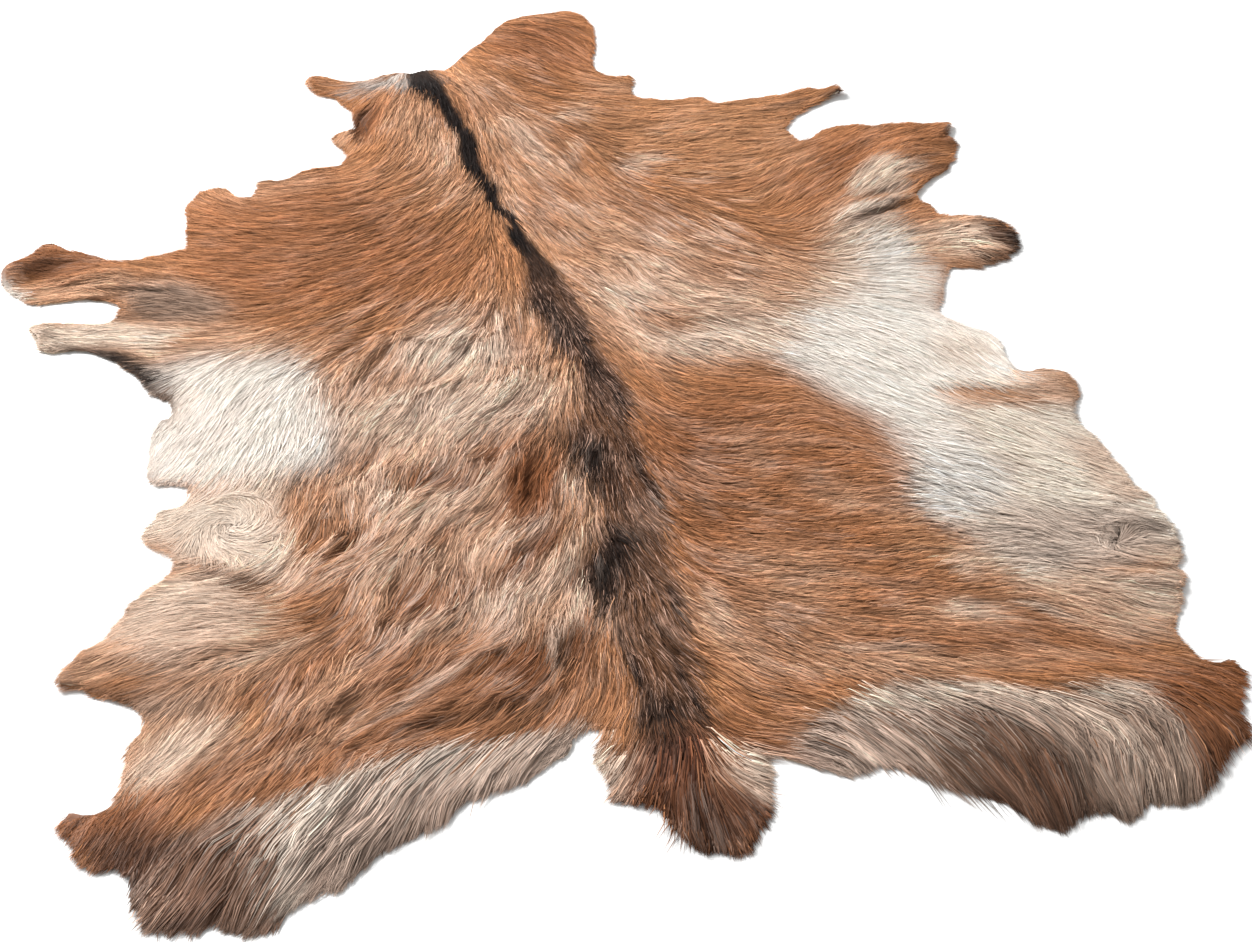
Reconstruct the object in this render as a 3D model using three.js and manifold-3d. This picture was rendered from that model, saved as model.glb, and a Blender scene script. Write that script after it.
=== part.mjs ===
// A whole goatskin laid out hair side up, in millimetres.
// The floor is z = 0, the neck points along +Y and the origin lies under the middle of the back.
import * as THREE from "three";
import { mergeVertices } from "three/addons/utils/BufferGeometryUtils.js";
import Module from "manifold-3d";

// Skin and coat together.
const BARE_THICK = 3.2;
const BODY_THICK = 8.5;
const LEAST_THICK = 2.6;
const THICKENS_OVER = 62;
const FOLD_AT_EDGE = 0.6;
const LUMP_RISE = 1.3;
const LUMP_WIDTH = 58;
const GRID = 21;

// The cut edge: its steps, and the widths of its fine and wide unevenness.
const RIM_STEP = 13;
const RAG_FINE = 13;
const RAG_WIDE = 37;
const TUCK_EVENED = [-2, -1, 0, 1, 2];

// A lock: how deep it roots, its height beside the coat's, and its shape where it bends.
const LOCK_ROOT = 8;
const LOCK_HIGH = 0.84;
const BENDS_AT = 0.62;
const WIDE_AT_BEND = 0.86;
const HIGH_AT_BEND = 0.68;
const SIDEWAYS = 0.9;
const REACH_LEAST = 0.72;
const REACH_SPREAD = 0.5;

// The room under a curl begins this far in from its reach.
const LIFT_STARTS = 0.35;
const HOLLOW_SIDES = 14;
const HOLLOW_RINGS = 5;
const SLIT_SIDES = 12;

// Cutters reach past the hide by this much.
const BELOW_FLOOR = -20;
const ABOVE_COAT = 120;

// The edge in order, clockwise seen from above, with a row for each turn that it takes.
// rag is how uneven the edge is, tuck is how far the skin stops short of the hair tips.
// locks stand along a stretch: one every so often, reaching so far, leaning from or to a point.
const EDGE = [
  { stretch: "left corner of the neck", rag: 1.6, tuck: 0, turns: [
    { x: -181, y: 606 }, { x: -171, y: 611 }, { x: -153, y: 605 }, { x: -137, y: 593 }, { x: -113, y: 592 },
  ] },
  { stretch: "middle of the neck", rag: 2.2, tuck: 0, turns: [
    { x: -98, y: 600 }, { x: -70, y: 597 }, { x: -53, y: 600 }, { x: -38, y: 593 }, { x: -23, y: 604 },
    { x: -10, y: 623 }, { x: 8, y: 639 },
  ] },
  { stretch: "flap of the neck", rag: 1.8, tuck: 0, turns: [
    { x: 22, y: 652 }, { x: 31, y: 666 }, { x: 47, y: 680 }, { x: 68, y: 686 }, { x: 92, y: 684 },
    { x: 112, y: 687 }, { x: 126, y: 676 }, { x: 130, y: 664 }, { x: 128, y: 628 }, { x: 121, y: 590 },
    { x: 116, y: 553 },
  ] },
  { stretch: "step below the flap", rag: 2, tuck: 0, turns: [
    { x: 126, y: 547 }, { x: 152, y: 541 }, { x: 154, y: 530 }, { x: 146, y: 522 }, { x: 147, y: 492 },
  ] },
  { stretch: "right shoulder", rag: 3, tuck: 0, turns: [
    { x: 162, y: 492 }, { x: 174, y: 483 }, { x: 213, y: 481 }, { x: 219, y: 470 }, { x: 241, y: 465 },
    { x: 268, y: 470 }, { x: 293, y: 468 }, { x: 308, y: 473 },
  ] },
  { stretch: "right spur", rag: 1.2, tuck: 0, turns: [
    { x: 327, y: 475 }, { x: 339, y: 467 }, { x: 358, y: 465 }, { x: 360, y: 457 }, { x: 344, y: 452 },
    { x: 308, y: 434 }, { x: 288, y: 420 }, { x: 280, y: 405 }, { x: 283, y: 388 },
  ] },
  { stretch: "top of the right foreleg", rag: 2.4, tuck: 0, turns: [
    { x: 288, y: 376 }, { x: 302, y: 377 }, { x: 316, y: 392 }, { x: 332, y: 398 }, { x: 356, y: 393 },
    { x: 380, y: 387 }, { x: 404, y: 388 }, { x: 421, y: 380 }, { x: 437, y: 377 }, { x: 449, y: 376 },
  ] },
  { stretch: "inside of the right foreleg", rag: 2, tuck: 0, turns: [
    { x: 441, y: 368 }, { x: 434, y: 352 }, { x: 443, y: 345 }, { x: 439, y: 331 }, { x: 429, y: 315 },
    { x: 417, y: 297 }, { x: 401, y: 289 }, { x: 386, y: 275 }, { x: 376, y: 261 }, { x: 374, y: 249 },
    { x: 382, y: 236 }, { x: 388, y: 219 },
  ] },
  { stretch: "dark tuft of the right foreleg", rag: 1.5, tuck: 5, turns: [
    { x: 407, y: 216 }, { x: 427, y: 209 }, { x: 441, y: 199 }, { x: 448, y: 184 }, { x: 448, y: 164 },
    { x: 441, y: 147 }, { x: 427, y: 135 }, { x: 412, y: 132 }, { x: 397, y: 125 }, { x: 387, y: 132 },
  ], locks: { every: 8.6, reach: 8, wide: 6, from: { x: 340, y: 192 } } },
  { stretch: "hollow of the right flank", rag: 1.6, tuck: 0, turns: [
    { x: 371, y: 136 }, { x: 363, y: 128 }, { x: 350, y: 100 }, { x: 341, y: 80 }, { x: 332, y: 66 },
    { x: 341, y: 52 }, { x: 355, y: 39 }, { x: 371, y: 27 }, { x: 378, y: 12 }, { x: 373, y: -14 },
    { x: 378, y: -36 },
  ] },
  { stretch: "right belly", rag: 2, tuck: 0, turns: [
    { x: 386, y: -43 }, { x: 398, y: -36 }, { x: 408, y: -42 }, { x: 421, y: -54 }, { x: 419, y: -78 },
    { x: 409, y: -98 }, { x: 404, y: -126 }, { x: 413, y: -145 }, { x: 417, y: -177 }, { x: 422, y: -203 },
  ] },
  { stretch: "rippled right flank", rag: 1.8, tuck: 0, turns: [
    { x: 424, y: -219 }, { x: 432, y: -234 }, { x: 427, y: -247 }, { x: 434, y: -262 }, { x: 431, y: -297 },
    { x: 429, y: -311 }, { x: 417, y: -321 }, { x: 422, y: -337 }, { x: 413, y: -349 }, { x: 406, y: -364 },
    { x: 392, y: -381 }, { x: 387, y: -398 }, { x: 391, y: -422 }, { x: 397, y: -441 },
  ] },
  { stretch: "end of the right hind leg", rag: 2.4, tuck: 2, turns: [
    { x: 416, y: -441 }, { x: 425, y: -451 }, { x: 416, y: -468 }, { x: 410, y: -484 }, { x: 402, y: -504 },
    { x: 400, y: -522 }, { x: 383, y: -534 }, { x: 366, y: -548 }, { x: 353, y: -564 },
  ], locks: { every: 12, reach: 8, wide: 7, from: { x: 330, y: -380 } } },
  { stretch: "right breech", rag: 2.6, tuck: 6, turns: [
    { x: 343, y: -577 }, { x: 331, y: -583 }, { x: 300, y: -571 }, { x: 280, y: -587 }, { x: 256, y: -573 },
    { x: 232, y: -583 }, { x: 210, y: -580 }, { x: 198, y: -555 }, { x: 182, y: -540 }, { x: 154, y: -517 },
    { x: 136, y: -500 }, { x: 112, y: -488 }, { x: 94, y: -494 }, { x: 72, y: -493 }, { x: 57, y: -484 },
    { x: 47, y: -470 },
  ], locks: { every: 9.6, reach: 12, wide: 7, to: { x: 230, y: -980 } } },
  { stretch: "tail", rag: 1.4, tuck: 6, turns: [
    { x: 31, y: -459 }, { x: 28, y: -482 }, { x: 20, y: -503 }, { x: 17, y: -524 }, { x: 0, y: -541 },
    { x: -15, y: -560 }, { x: -33, y: -552 }, { x: -52, y: -540 }, { x: -59, y: -516 }, { x: -64, y: -496 },
    { x: -96, y: -482 }, { x: -92, y: -462 }, { x: -102, y: -442 }, { x: -97, y: -424 },
  ], locks: { every: 9.4, reach: 10, wide: 6.2, from: { x: -40, y: -446 } } },
  { stretch: "notch beside the tail", rag: 1, tuck: 0, turns: [
    { x: -84, y: -414 }, { x: -92, y: -402 }, { x: -104, y: -402 },
  ] },
  { stretch: "left breech", rag: 2.6, tuck: 5.5, turns: [
    { x: -115, y: -420 }, { x: -142, y: -441 }, { x: -170, y: -449 }, { x: -200, y: -453 }, { x: -218, y: -471 },
    { x: -248, y: -481 }, { x: -280, y: -498 }, { x: -301, y: -519 }, { x: -322, y: -524 }, { x: -350, y: -539 },
    { x: -379, y: -552 }, { x: -394, y: -541 }, { x: -420, y: -538 }, { x: -442, y: -533 },
  ], locks: { every: 9.6, reach: 15, wide: 7, to: { x: -500, y: -880 } } },
  { stretch: "end of the left hind leg", rag: 2.2, tuck: 3, turns: [
    { x: -457, y: -516 }, { x: -459, y: -481 }, { x: -471, y: -469 }, { x: -488, y: -466 }, { x: -498, y: -450 },
    { x: -501, y: -430 }, { x: -511, y: -421 }, { x: -509, y: -408 }, { x: -484, y: -409 }, { x: -464, y: -408 },
  ], locks: { every: 12, reach: 8, wide: 6.5, from: { x: -400, y: -400 } } },
  { stretch: "left thigh", rag: 2, tuck: 0, turns: [
    { x: -458, y: -390 }, { x: -455, y: -368 }, { x: -451, y: -349 }, { x: -441, y: -335 }, { x: -435, y: -318 },
    { x: -441, y: -300 },
  ] },
  { stretch: "left stifle flap", rag: 1.8, tuck: 0, turns: [
    { x: -464, y: -284 }, { x: -481, y: -268 }, { x: -497, y: -266 }, { x: -499, y: -254 }, { x: -483, y: -238 },
    { x: -477, y: -225 }, { x: -457, y: -221 }, { x: -447, y: -203 }, { x: -433, y: -182 }, { x: -413, y: -160 },
  ] },
  { stretch: "left belly", rag: 1.5, tuck: 0, turns: [
    { x: -396, y: -149 }, { x: -391, y: -133 }, { x: -396, y: -118 }, { x: -411, y: -106 }, { x: -415, y: -94 },
    { x: -404, y: -76 }, { x: -398, y: -62 }, { x: -378, y: -62 }, { x: -369, y: -54 }, { x: -369, y: -38 },
    { x: -381, y: -27 },
  ] },
  { stretch: "left flank", rag: 1.4, tuck: 0, turns: [
    { x: -400, y: -22 }, { x: -397, y: 18 }, { x: -393, y: 46 }, { x: -387, y: 62 }, { x: -371, y: 62 },
    { x: -368, y: 76 }, { x: -374, y: 92 }, { x: -388, y: 103 }, { x: -394, y: 123 }, { x: -404, y: 144 },
  ] },
  { stretch: "lower prong of the left foreleg", rag: 1.6, tuck: 0, turns: [
    { x: -421, y: 165 }, { x: -444, y: 184 }, { x: -471, y: 184 }, { x: -483, y: 194 }, { x: -483, y: 208 },
    { x: -488, y: 227 }, { x: -472, y: 230 }, { x: -446, y: 225 }, { x: -418, y: 216 },
  ] },
  { stretch: "upper prong of the left foreleg", rag: 2.2, tuck: 0, turns: [
    { x: -407, y: 229 }, { x: -406, y: 252 }, { x: -420, y: 263 }, { x: -450, y: 266 }, { x: -480, y: 265 },
    { x: -497, y: 281 }, { x: -507, y: 303 }, { x: -505, y: 323 }, { x: -495, y: 337 }, { x: -480, y: 345 },
    { x: -464, y: 366 },
  ] },
  { stretch: "top of the left foreleg", rag: 2, tuck: 0, turns: [
    { x: -449, y: 350 }, { x: -421, y: 334 }, { x: -399, y: 317 }, { x: -373, y: 317 }, { x: -348, y: 321 },
    { x: -332, y: 323 },
  ] },
  { stretch: "left shoulder", rag: 2.8, tuck: 0, turns: [
    { x: -330, y: 345 }, { x: -328, y: 373 }, { x: -323, y: 394 }, { x: -311, y: 418 }, { x: -297, y: 420 },
    { x: -281, y: 417 }, { x: -277, y: 401 }, { x: -263, y: 395 }, { x: -255, y: 408 }, { x: -249, y: 424 },
    { x: -221, y: 424 }, { x: -211, y: 433 }, { x: -180, y: 438 },
  ] },
  { stretch: "left side of the neck", rag: 2, tuck: 0, turns: [
    { x: -166, y: 436 }, { x: -161, y: 454 }, { x: -164, y: 475 }, { x: -172, y: 492 }, { x: -156, y: 499 },
    { x: -142, y: 504 }, { x: -141, y: 518 }, { x: -143, y: 535 }, { x: -147, y: 551 }, { x: -154, y: 567 },
    { x: -172, y: 582 }, { x: -181, y: 594 },
  ] },
];

// Ridges and troughs of the hair side. turn is the angle of their length from +X, in degrees.
const FOLDS = [
  { at: "roll along the left foreleg", x: -382, y: 262, turn: -42, long: 66, wide: 19, rise: 9 },
  { at: "trough below that roll", x: -350, y: 205, turn: -32, long: 52, wide: 17, rise: -4 },
  { at: "hollow of the left foreleg", x: -452, y: 312, turn: 12, long: 34, wide: 22, rise: -6 },
  { at: "rolled edge of the left foreleg", x: -470, y: 345, turn: 40, long: 34, wide: 14, rise: 7 },
  { at: "root of the left shoulder", x: -318, y: 300, turn: -60, long: 46, wide: 20, rise: 3 },
  { at: "crease of the left belly", x: -352, y: -172, turn: -36, long: 48, wide: 14, rise: -4.5 },
  { at: "ridge below that crease", x: -368, y: -192, turn: -36, long: 55, wide: 20, rise: 4 },
  { at: "whorl of the left belly", x: -342, y: -92, turn: 0, long: 34, wide: 30, rise: -3 },
  { at: "rim of that whorl", x: -332, y: -58, turn: -25, long: 42, wide: 15, rise: 4.5 },
  { at: "upper ridge of the left thigh", x: -352, y: -246, turn: 16, long: 60, wide: 17, rise: 4.5 },
  { at: "lower ridge of the left thigh", x: -372, y: -296, turn: 8, long: 62, wide: 17, rise: 5 },
  { at: "third ridge of the left thigh", x: -300, y: -350, turn: 22, long: 70, wide: 22, rise: 4 },
  { at: "long hair of the left breech", x: -330, y: -462, turn: 17, long: 150, wide: 48, rise: 8 },
  { at: "upper ridge of the right foreleg", x: 350, y: 258, turn: 28, long: 58, wide: 16, rise: 6 },
  { at: "lower ridge of the right foreleg", x: 338, y: 222, turn: 12, long: 52, wide: 14, rise: 5.5 },
  { at: "trough between them", x: 346, y: 240, turn: 20, long: 50, wide: 11, rise: -3.5 },
  { at: "outer ridge of the right foreleg", x: 380, y: 325, turn: 52, long: 52, wide: 18, rise: 5 },
  { at: "ball of the right foreleg", x: 420, y: 174, turn: 70, long: 34, wide: 26, rise: 5 },
  { at: "crease of the right belly", x: 328, y: -54, turn: -12, long: 48, wide: 12, rise: -4 },
  { at: "ridge below that crease", x: 340, y: -74, turn: -12, long: 54, wide: 18, rise: 3.5 },
  { at: "first ripple of the right flank", x: 408, y: -236, turn: 24, long: 34, wide: 12, rise: 6.5 },
  { at: "second ripple", x: 405, y: -268, turn: 4, long: 32, wide: 12, rise: 6 },
  { at: "third ripple", x: 398, y: -302, turn: 14, long: 40, wide: 13, rise: 7 },
  { at: "fourth ripple", x: 392, y: -336, turn: 20, long: 40, wide: 13, rise: 6.5 },
  { at: "rim of the right belly", x: 398, y: -140, turn: 86, long: 64, wide: 14, rise: 3.5 },
  { at: "long hair of the right breech", x: 225, y: -480, turn: -18, long: 165, wide: 52, rise: 9 },
  { at: "end of the right hind leg", x: 372, y: -488, turn: 60, long: 56, wide: 34, rise: 6 },
  { at: "end of the left hind leg", x: -455, y: -440, turn: -60, long: 50, wide: 30, rise: 5 },
  { at: "tail", x: -40, y: -470, turn: 80, long: 58, wide: 34, rise: 9 },
  { at: "mane along the lower back", x: -14, y: -170, turn: 86, long: 240, wide: 36, rise: 3.5 },
  { at: "mane at the neck", x: -52, y: 560, turn: 80, long: 40, wide: 22, rise: 3 },
  { at: "first tuft left of the back", x: -86, y: -72, turn: 58, long: 46, wide: 20, rise: 3 },
  { at: "second tuft", x: -112, y: -190, turn: 40, long: 44, wide: 18, rise: 3.2 },
  { at: "third tuft", x: -176, y: -118, turn: 48, long: 46, wide: 20, rise: 2.8 },
  { at: "fourth tuft", x: -232, y: -250, turn: 44, long: 52, wide: 22, rise: 3 },
  { at: "fifth tuft", x: -128, y: -322, turn: 24, long: 58, wide: 20, rise: 3.2 },
  { at: "crease of the right thigh", x: 262, y: -350, turn: -36, long: 60, wide: 15, rise: -2.5 },
  { at: "left fold of the flap", x: 55, y: 650, turn: 62, long: 46, wide: 16, rise: 3 },
];

// Where the skin curls clear of the floor.
const CURLS = [
  { at: "tip of the left foreleg", x: -497, y: 318, reach: 44, lift: 9 },
  { at: "lower prong of the left foreleg", x: -484, y: 210, reach: 36, lift: 6 },
  { at: "left corner of the neck", x: -178, y: 600, reach: 38, lift: 6 },
  { at: "right spur", x: 356, y: 461, reach: 40, lift: 7 },
  { at: "tip of the right foreleg", x: 444, y: 362, reach: 36, lift: 6 },
  { at: "left stifle flap", x: -494, y: -256, reach: 40, lift: 6 },
  { at: "right corner of the belly", x: 412, y: -52, reach: 34, lift: 4 },
];

// A slit that goes right through the left stifle flap.
const SLIT = { x: -471, y: -241, turn: 52, long: 15, wide: 5 };

const whole = Math.round;
const clamp = (value, low, high) => Math.min(high, Math.max(low, value));

function smooth(low, high, value) {
  const t = clamp((value - low) / (high - low), 0, 1);
  return t * t * (3 - 2 * t);
}

// The same number from 0 to 1 for the same place each time.
function chance(a, b = 0) {
  const wave = Math.sin(a * 127.1 + b * 311.7 + 17.3) * 43758.5453;
  return wave - Math.floor(wave);
}

// Even noise from -1 to 1 along a line.
function ripple(s) {
  const from = Math.floor(s);
  return THREE.MathUtils.lerp(chance(from), chance(from + 1), smooth(0, 1, s - from)) * 2 - 1;
}

// Even noise from -1 to 1 over the plane.
function lumps(x, y) {
  const i = Math.floor(x);
  const j = Math.floor(y);
  const u = smooth(0, 1, x - i);
  const v = smooth(0, 1, y - j);
  const near = THREE.MathUtils.lerp(chance(i, j), chance(i + 1, j), u);
  const far = THREE.MathUtils.lerp(chance(i, j + 1), chance(i + 1, j + 1), u);
  return THREE.MathUtils.lerp(near, far, v) * 2 - 1;
}

// Points round the smooth edge, each with its outward direction and its stretch.
function smoothEdge() {
  const rows = EDGE.flatMap((stretch) => stretch.turns.map((turn) => ({ ...turn, stretch })));
  const corners = rows.map((row) => new THREE.Vector3(row.x, row.y, 0));
  const curve = new THREE.CatmullRomCurve3(corners, true, "centripetal");
  const samples = [];
  rows.forEach((row, k) => {
    const next = corners[(k + 1) % corners.length];
    const steps = Math.max(1, whole(corners[k].distanceTo(next) / RIM_STEP));
    for (let i = 0; i < steps; i += 1) {
      const t = (k + i / steps) / rows.length;
      const along = curve.getTangent(t);
      const out = new THREE.Vector2(-along.y, along.x);
      const point = curve.getPoint(t);
      samples.push({ point: new THREE.Vector2(point.x, point.y), out, stretch: row.stretch });
    }
  });
  return samples;
}

// The edge of the skin itself: tucked in under the hair tips and finely ragged.
function skinEdge(samples) {
  let run = 0;
  return samples.map((sample, k) => {
    const around = TUCK_EVENED.map((d) => samples[(k + d + samples.length) % samples.length]);
    const tuck = around.reduce((sum, near) => sum + near.stretch.tuck, 0) / around.length;
    run += sample.point.distanceTo(samples[(k + samples.length - 1) % samples.length].point);
    const rag = sample.stretch.rag * (ripple(run / RAG_FINE) + 0.5 * ripple(run / RAG_WIDE));
    return sample.point.clone().addScaledVector(sample.out, rag - tuck);
  });
}

// The distance from a place to the edge, over 0 inside and under 0 outside.
function depthInside(edge, x, y) {
  let nearest = Infinity;
  let inside = false;
  for (let k = 0, j = edge.length - 1; k < edge.length; j = k, k += 1) {
    const a = edge[j];
    const b = edge[k];
    const t = clamp(((x - a.x) * (b.x - a.x) + (y - a.y) * (b.y - a.y)) / a.distanceToSquared(b), 0, 1);
    nearest = Math.min(nearest, Math.hypot(x - a.x - t * (b.x - a.x), y - a.y - t * (b.y - a.y)));
    if ((a.y > y) !== (b.y > y) && x < a.x + ((b.x - a.x) * (y - a.y)) / (b.y - a.y)) {
      inside = !inside;
    }
  }
  return inside ? nearest : -nearest;
}

function foldRise(x, y) {
  return FOLDS.reduce((sum, fold) => {
    const turn = THREE.MathUtils.degToRad(fold.turn);
    const along = (x - fold.x) * Math.cos(turn) + (y - fold.y) * Math.sin(turn);
    const across = (y - fold.y) * Math.cos(turn) - (x - fold.x) * Math.sin(turn);
    return sum + fold.rise * Math.exp(-((along / fold.long) ** 2) - (across / fold.wide) ** 2);
  }, 0);
}

// How far one curl clears the floor, at a distance from its middle.
const curlLift = (curl, distance) => curl.lift * smooth(LIFT_STARTS, 1, 1 - distance / curl.reach);

// How far the skin is clear of the floor: exactly 0 where it lies on it.
function liftAt(x, y) {
  return Math.max(0, ...CURLS.map((curl) => curlLift(curl, Math.hypot(x - curl.x, y - curl.y))));
}

// Skin and coat together, thin at the bare edge and lumpy over the body.
function thickAt(edge, x, y) {
  const body = smooth(0, THICKENS_OVER, depthInside(edge, x, y));
  const uneven = LUMP_RISE * lumps(x / LUMP_WIDTH, y / LUMP_WIDTH);
  const thick = THREE.MathUtils.lerp(BARE_THICK, BODY_THICK + uneven, body);
  return Math.max(LEAST_THICK, thick + foldRise(x, y) * THREE.MathUtils.lerp(FOLD_AT_EDGE, 1, body));
}

function toManifold(wasm, numbers, corners) {
  const vertProperties = new Float32Array(numbers);
  const triVerts = new Uint32Array(corners);
  return new wasm.Manifold(new wasm.Mesh({ numProp: 3, vertProperties, triVerts }));
}

// A square sheet larger than the skin, flat below and with the height of the coat on top.
function uncutSheet(wasm, edge) {
  const box = new THREE.Box2().setFromPoints(edge).expandByScalar(GRID);
  const columns = Math.ceil((box.max.x - box.min.x) / GRID);
  const rows = Math.ceil((box.max.y - box.min.y) / GRID);
  const points = [];
  for (let j = 0; j <= rows; j += 1) {
    for (let i = 0; i <= columns; i += 1) {
      const x = box.min.x + i * GRID;
      const y = box.min.y + j * GRID;
      points.push([x, y, liftAt(x, y) + thickAt(edge, x, y)]);
    }
  }
  const at = (i, j) => j * (columns + 1) + i;
  const faces = [];
  for (let j = 0; j < rows; j += 1) {
    for (let i = 0; i < columns; i += 1) {
      const [a, b, c, d] = [at(i, j), at(i + 1, j), at(i + 1, j + 1), at(i, j + 1)];
      faces.push([a, b, c], [a, c, d]);
    }
  }
  const low = points.length;
  const [right, far] = [box.min.x + columns * GRID, box.min.y + rows * GRID];
  points.push([box.min.x, box.min.y, 0], [right, box.min.y, 0], [right, far, 0], [box.min.x, far, 0]);
  faces.push([low, low + 2, low + 1], [low, low + 3, low + 2]);
  const borders = [
    Array.from({ length: columns + 1 }, (_, i) => at(i, 0)),
    Array.from({ length: rows + 1 }, (_, j) => at(columns, j)),
    Array.from({ length: columns + 1 }, (_, i) => at(columns - i, rows)),
    Array.from({ length: rows + 1 }, (_, j) => at(0, rows - j)),
  ];
  borders.forEach((border, k) => {
    const [from, to] = [low + k, low + ((k + 1) % 4)];
    for (let i = 0; i + 1 < border.length; i += 1) {
      faces.push([border[i], from, border[i + 1]]);
    }
    faces.push([border[border.length - 1], from, to]);
  });
  return toManifold(wasm, points.flat(), faces.flat());
}

// The room under a curl, taken out of the flat underside.
function curlHollow(wasm, curl) {
  const wide = curl.reach * (1 - LIFT_STARTS);
  const profile = [new THREE.Vector2(0, BELOW_FLOOR), new THREE.Vector2(wide, BELOW_FLOOR)];
  for (let k = 0; k <= HOLLOW_RINGS; k += 1) {
    const r = wide * (1 - k / HOLLOW_RINGS);
    profile.push(new THREE.Vector2(r, curlLift(curl, r)));
  }
  const turned = new THREE.LatheGeometry(profile, HOLLOW_SIDES).rotateX(Math.PI / 2);
  turned.translate(curl.x, curl.y, 0);
  turned.deleteAttribute("normal");
  turned.deleteAttribute("uv");
  const closed = mergeVertices(turned);
  return toManifold(wasm, closed.attributes.position.array, closed.index.array);
}

// An upright block with the given clockwise outline, through the whole thickness.
function upright(wasm, outline) {
  const ring = [...outline].reverse();
  const caps = THREE.ShapeUtils.triangulateShape(ring, []);
  const count = ring.length;
  const points = [
    ...ring.map((p) => [p.x, p.y, BELOW_FLOOR]),
    ...ring.map((p) => [p.x, p.y, ABOVE_COAT]),
  ];
  const faces = caps.flatMap(([a, b, c]) => [[a, c, b], [count + a, count + b, count + c]]);
  for (let k = 0; k < count; k += 1) {
    const next = (k + 1) % count;
    faces.push([k, next, count + next], [k, count + next, count + k]);
  }
  return toManifold(wasm, points.flat(), faces.flat());
}

// A lock of hair with three sides: one flat on the floor, two meeting along its back.
function lock(wasm, root, heading, bend, size) {
  const out = new THREE.Vector2(Math.cos(heading), Math.sin(heading));
  const side = new THREE.Vector2(-out.y, out.x);
  const centre = (t) => root.clone()
    .addScaledVector(out, t * (LOCK_ROOT + size.reach) - LOCK_ROOT)
    .addScaledVector(side, bend * t * t);
  const section = (t, wide, high) => {
    const p = centre(t);
    const left = p.clone().addScaledVector(side, wide / 2);
    const right = p.clone().addScaledVector(side, -wide / 2);
    return [[left.x, left.y, 0], [right.x, right.y, 0], [p.x, p.y, high]];
  };
  const tip = centre(1);
  const points = [
    ...section(0, size.wide, size.high),
    ...section(BENDS_AT, size.wide * WIDE_AT_BEND, size.high * HIGH_AT_BEND),
    [tip.x, tip.y, 0],
  ];
  const faces = [[0, 1, 2]];
  for (let k = 0; k < 3; k += 1) {
    const next = (k + 1) % 3;
    faces.push([k, 3 + next, next], [k, 3 + k, 3 + next], [3 + k, 6, 3 + next]);
  }
  return toManifold(wasm, points.flat(), faces.flat());
}

// The locks of one stretch, evenly apart along the skin's edge and uneven in reach and bend.
function stretchLocks(wasm, samples, edge, stretch) {
  const { every, reach, wide, from, to } = stretch.locks;
  const made = [];
  let left = every / 2;
  samples.forEach((sample, k) => {
    if (sample.stretch !== stretch) {
      return;
    }
    const start = edge[k];
    const end = edge[(k + 1) % edge.length];
    const span = start.distanceTo(end);
    while (left < span) {
      const root = start.clone().lerp(end, left / span);
      const heading = from
        ? Math.atan2(root.y - from.y, root.x - from.x)
        : Math.atan2(to.y - root.y, to.x - root.x);
      const luck = chance(made.length, wide * 10 + every);
      const high = LOCK_HIGH * thickAt(edge, root.x, root.y);
      const size = { reach: reach * (REACH_LEAST + REACH_SPREAD * luck), wide, high };
      const bend = SIDEWAYS * wide * (chance(made.length, reach) - 0.5);
      made.push(lock(wasm, root, heading, bend, size));
      left += every;
    }
    left -= span;
  });
  return made;
}

// The lens-shaped outline of the slit.
function slitOutline() {
  const turn = THREE.MathUtils.degToRad(SLIT.turn);
  const outline = [];
  for (let k = 0; k < SLIT_SIDES; k += 1) {
    const angle = -(k / SLIT_SIDES) * 2 * Math.PI;
    const along = (SLIT.long / 2) * Math.cos(angle);
    const across = (SLIT.wide / 2) * Math.sin(angle);
    outline.push(new THREE.Vector2(
      SLIT.x + along * Math.cos(turn) - across * Math.sin(turn),
      SLIT.y + along * Math.sin(turn) + across * Math.cos(turn),
    ));
  }
  return outline;
}

function toMesh(solid, name, material) {
  const mesh = solid.getMesh();
  const geometry = new THREE.BufferGeometry();
  geometry.setAttribute("position", new THREE.BufferAttribute(mesh.vertProperties, 3));
  geometry.setIndex(new THREE.BufferAttribute(mesh.triVerts, 1));
  geometry.computeVertexNormals();
  const result = new THREE.Mesh(geometry, material);
  result.name = name;
  return result;
}

function hide(wasm) {
  const samples = smoothEdge();
  const edge = skinEdge(samples);
  let solid = uncutSheet(wasm, edge).intersect(upright(wasm, edge));
  for (const stretch of EDGE.filter((row) => row.locks)) {
    for (const one of stretchLocks(wasm, samples, edge, stretch)) {
      solid = solid.add(one);
    }
  }
  for (const curl of CURLS) {
    solid = solid.subtract(curlHollow(wasm, curl));
  }
  solid = solid.subtract(upright(wasm, slitOutline()));
  const hair = new THREE.MeshStandardMaterial({ color: 0xb5825a, roughness: 0.72, metalness: 0 });
  return toMesh(solid, "hide", hair);
}

const wasm = await Module();
wasm.setup();

const group = new THREE.Group();
group.add(hide(wasm));

export default group;
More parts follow.
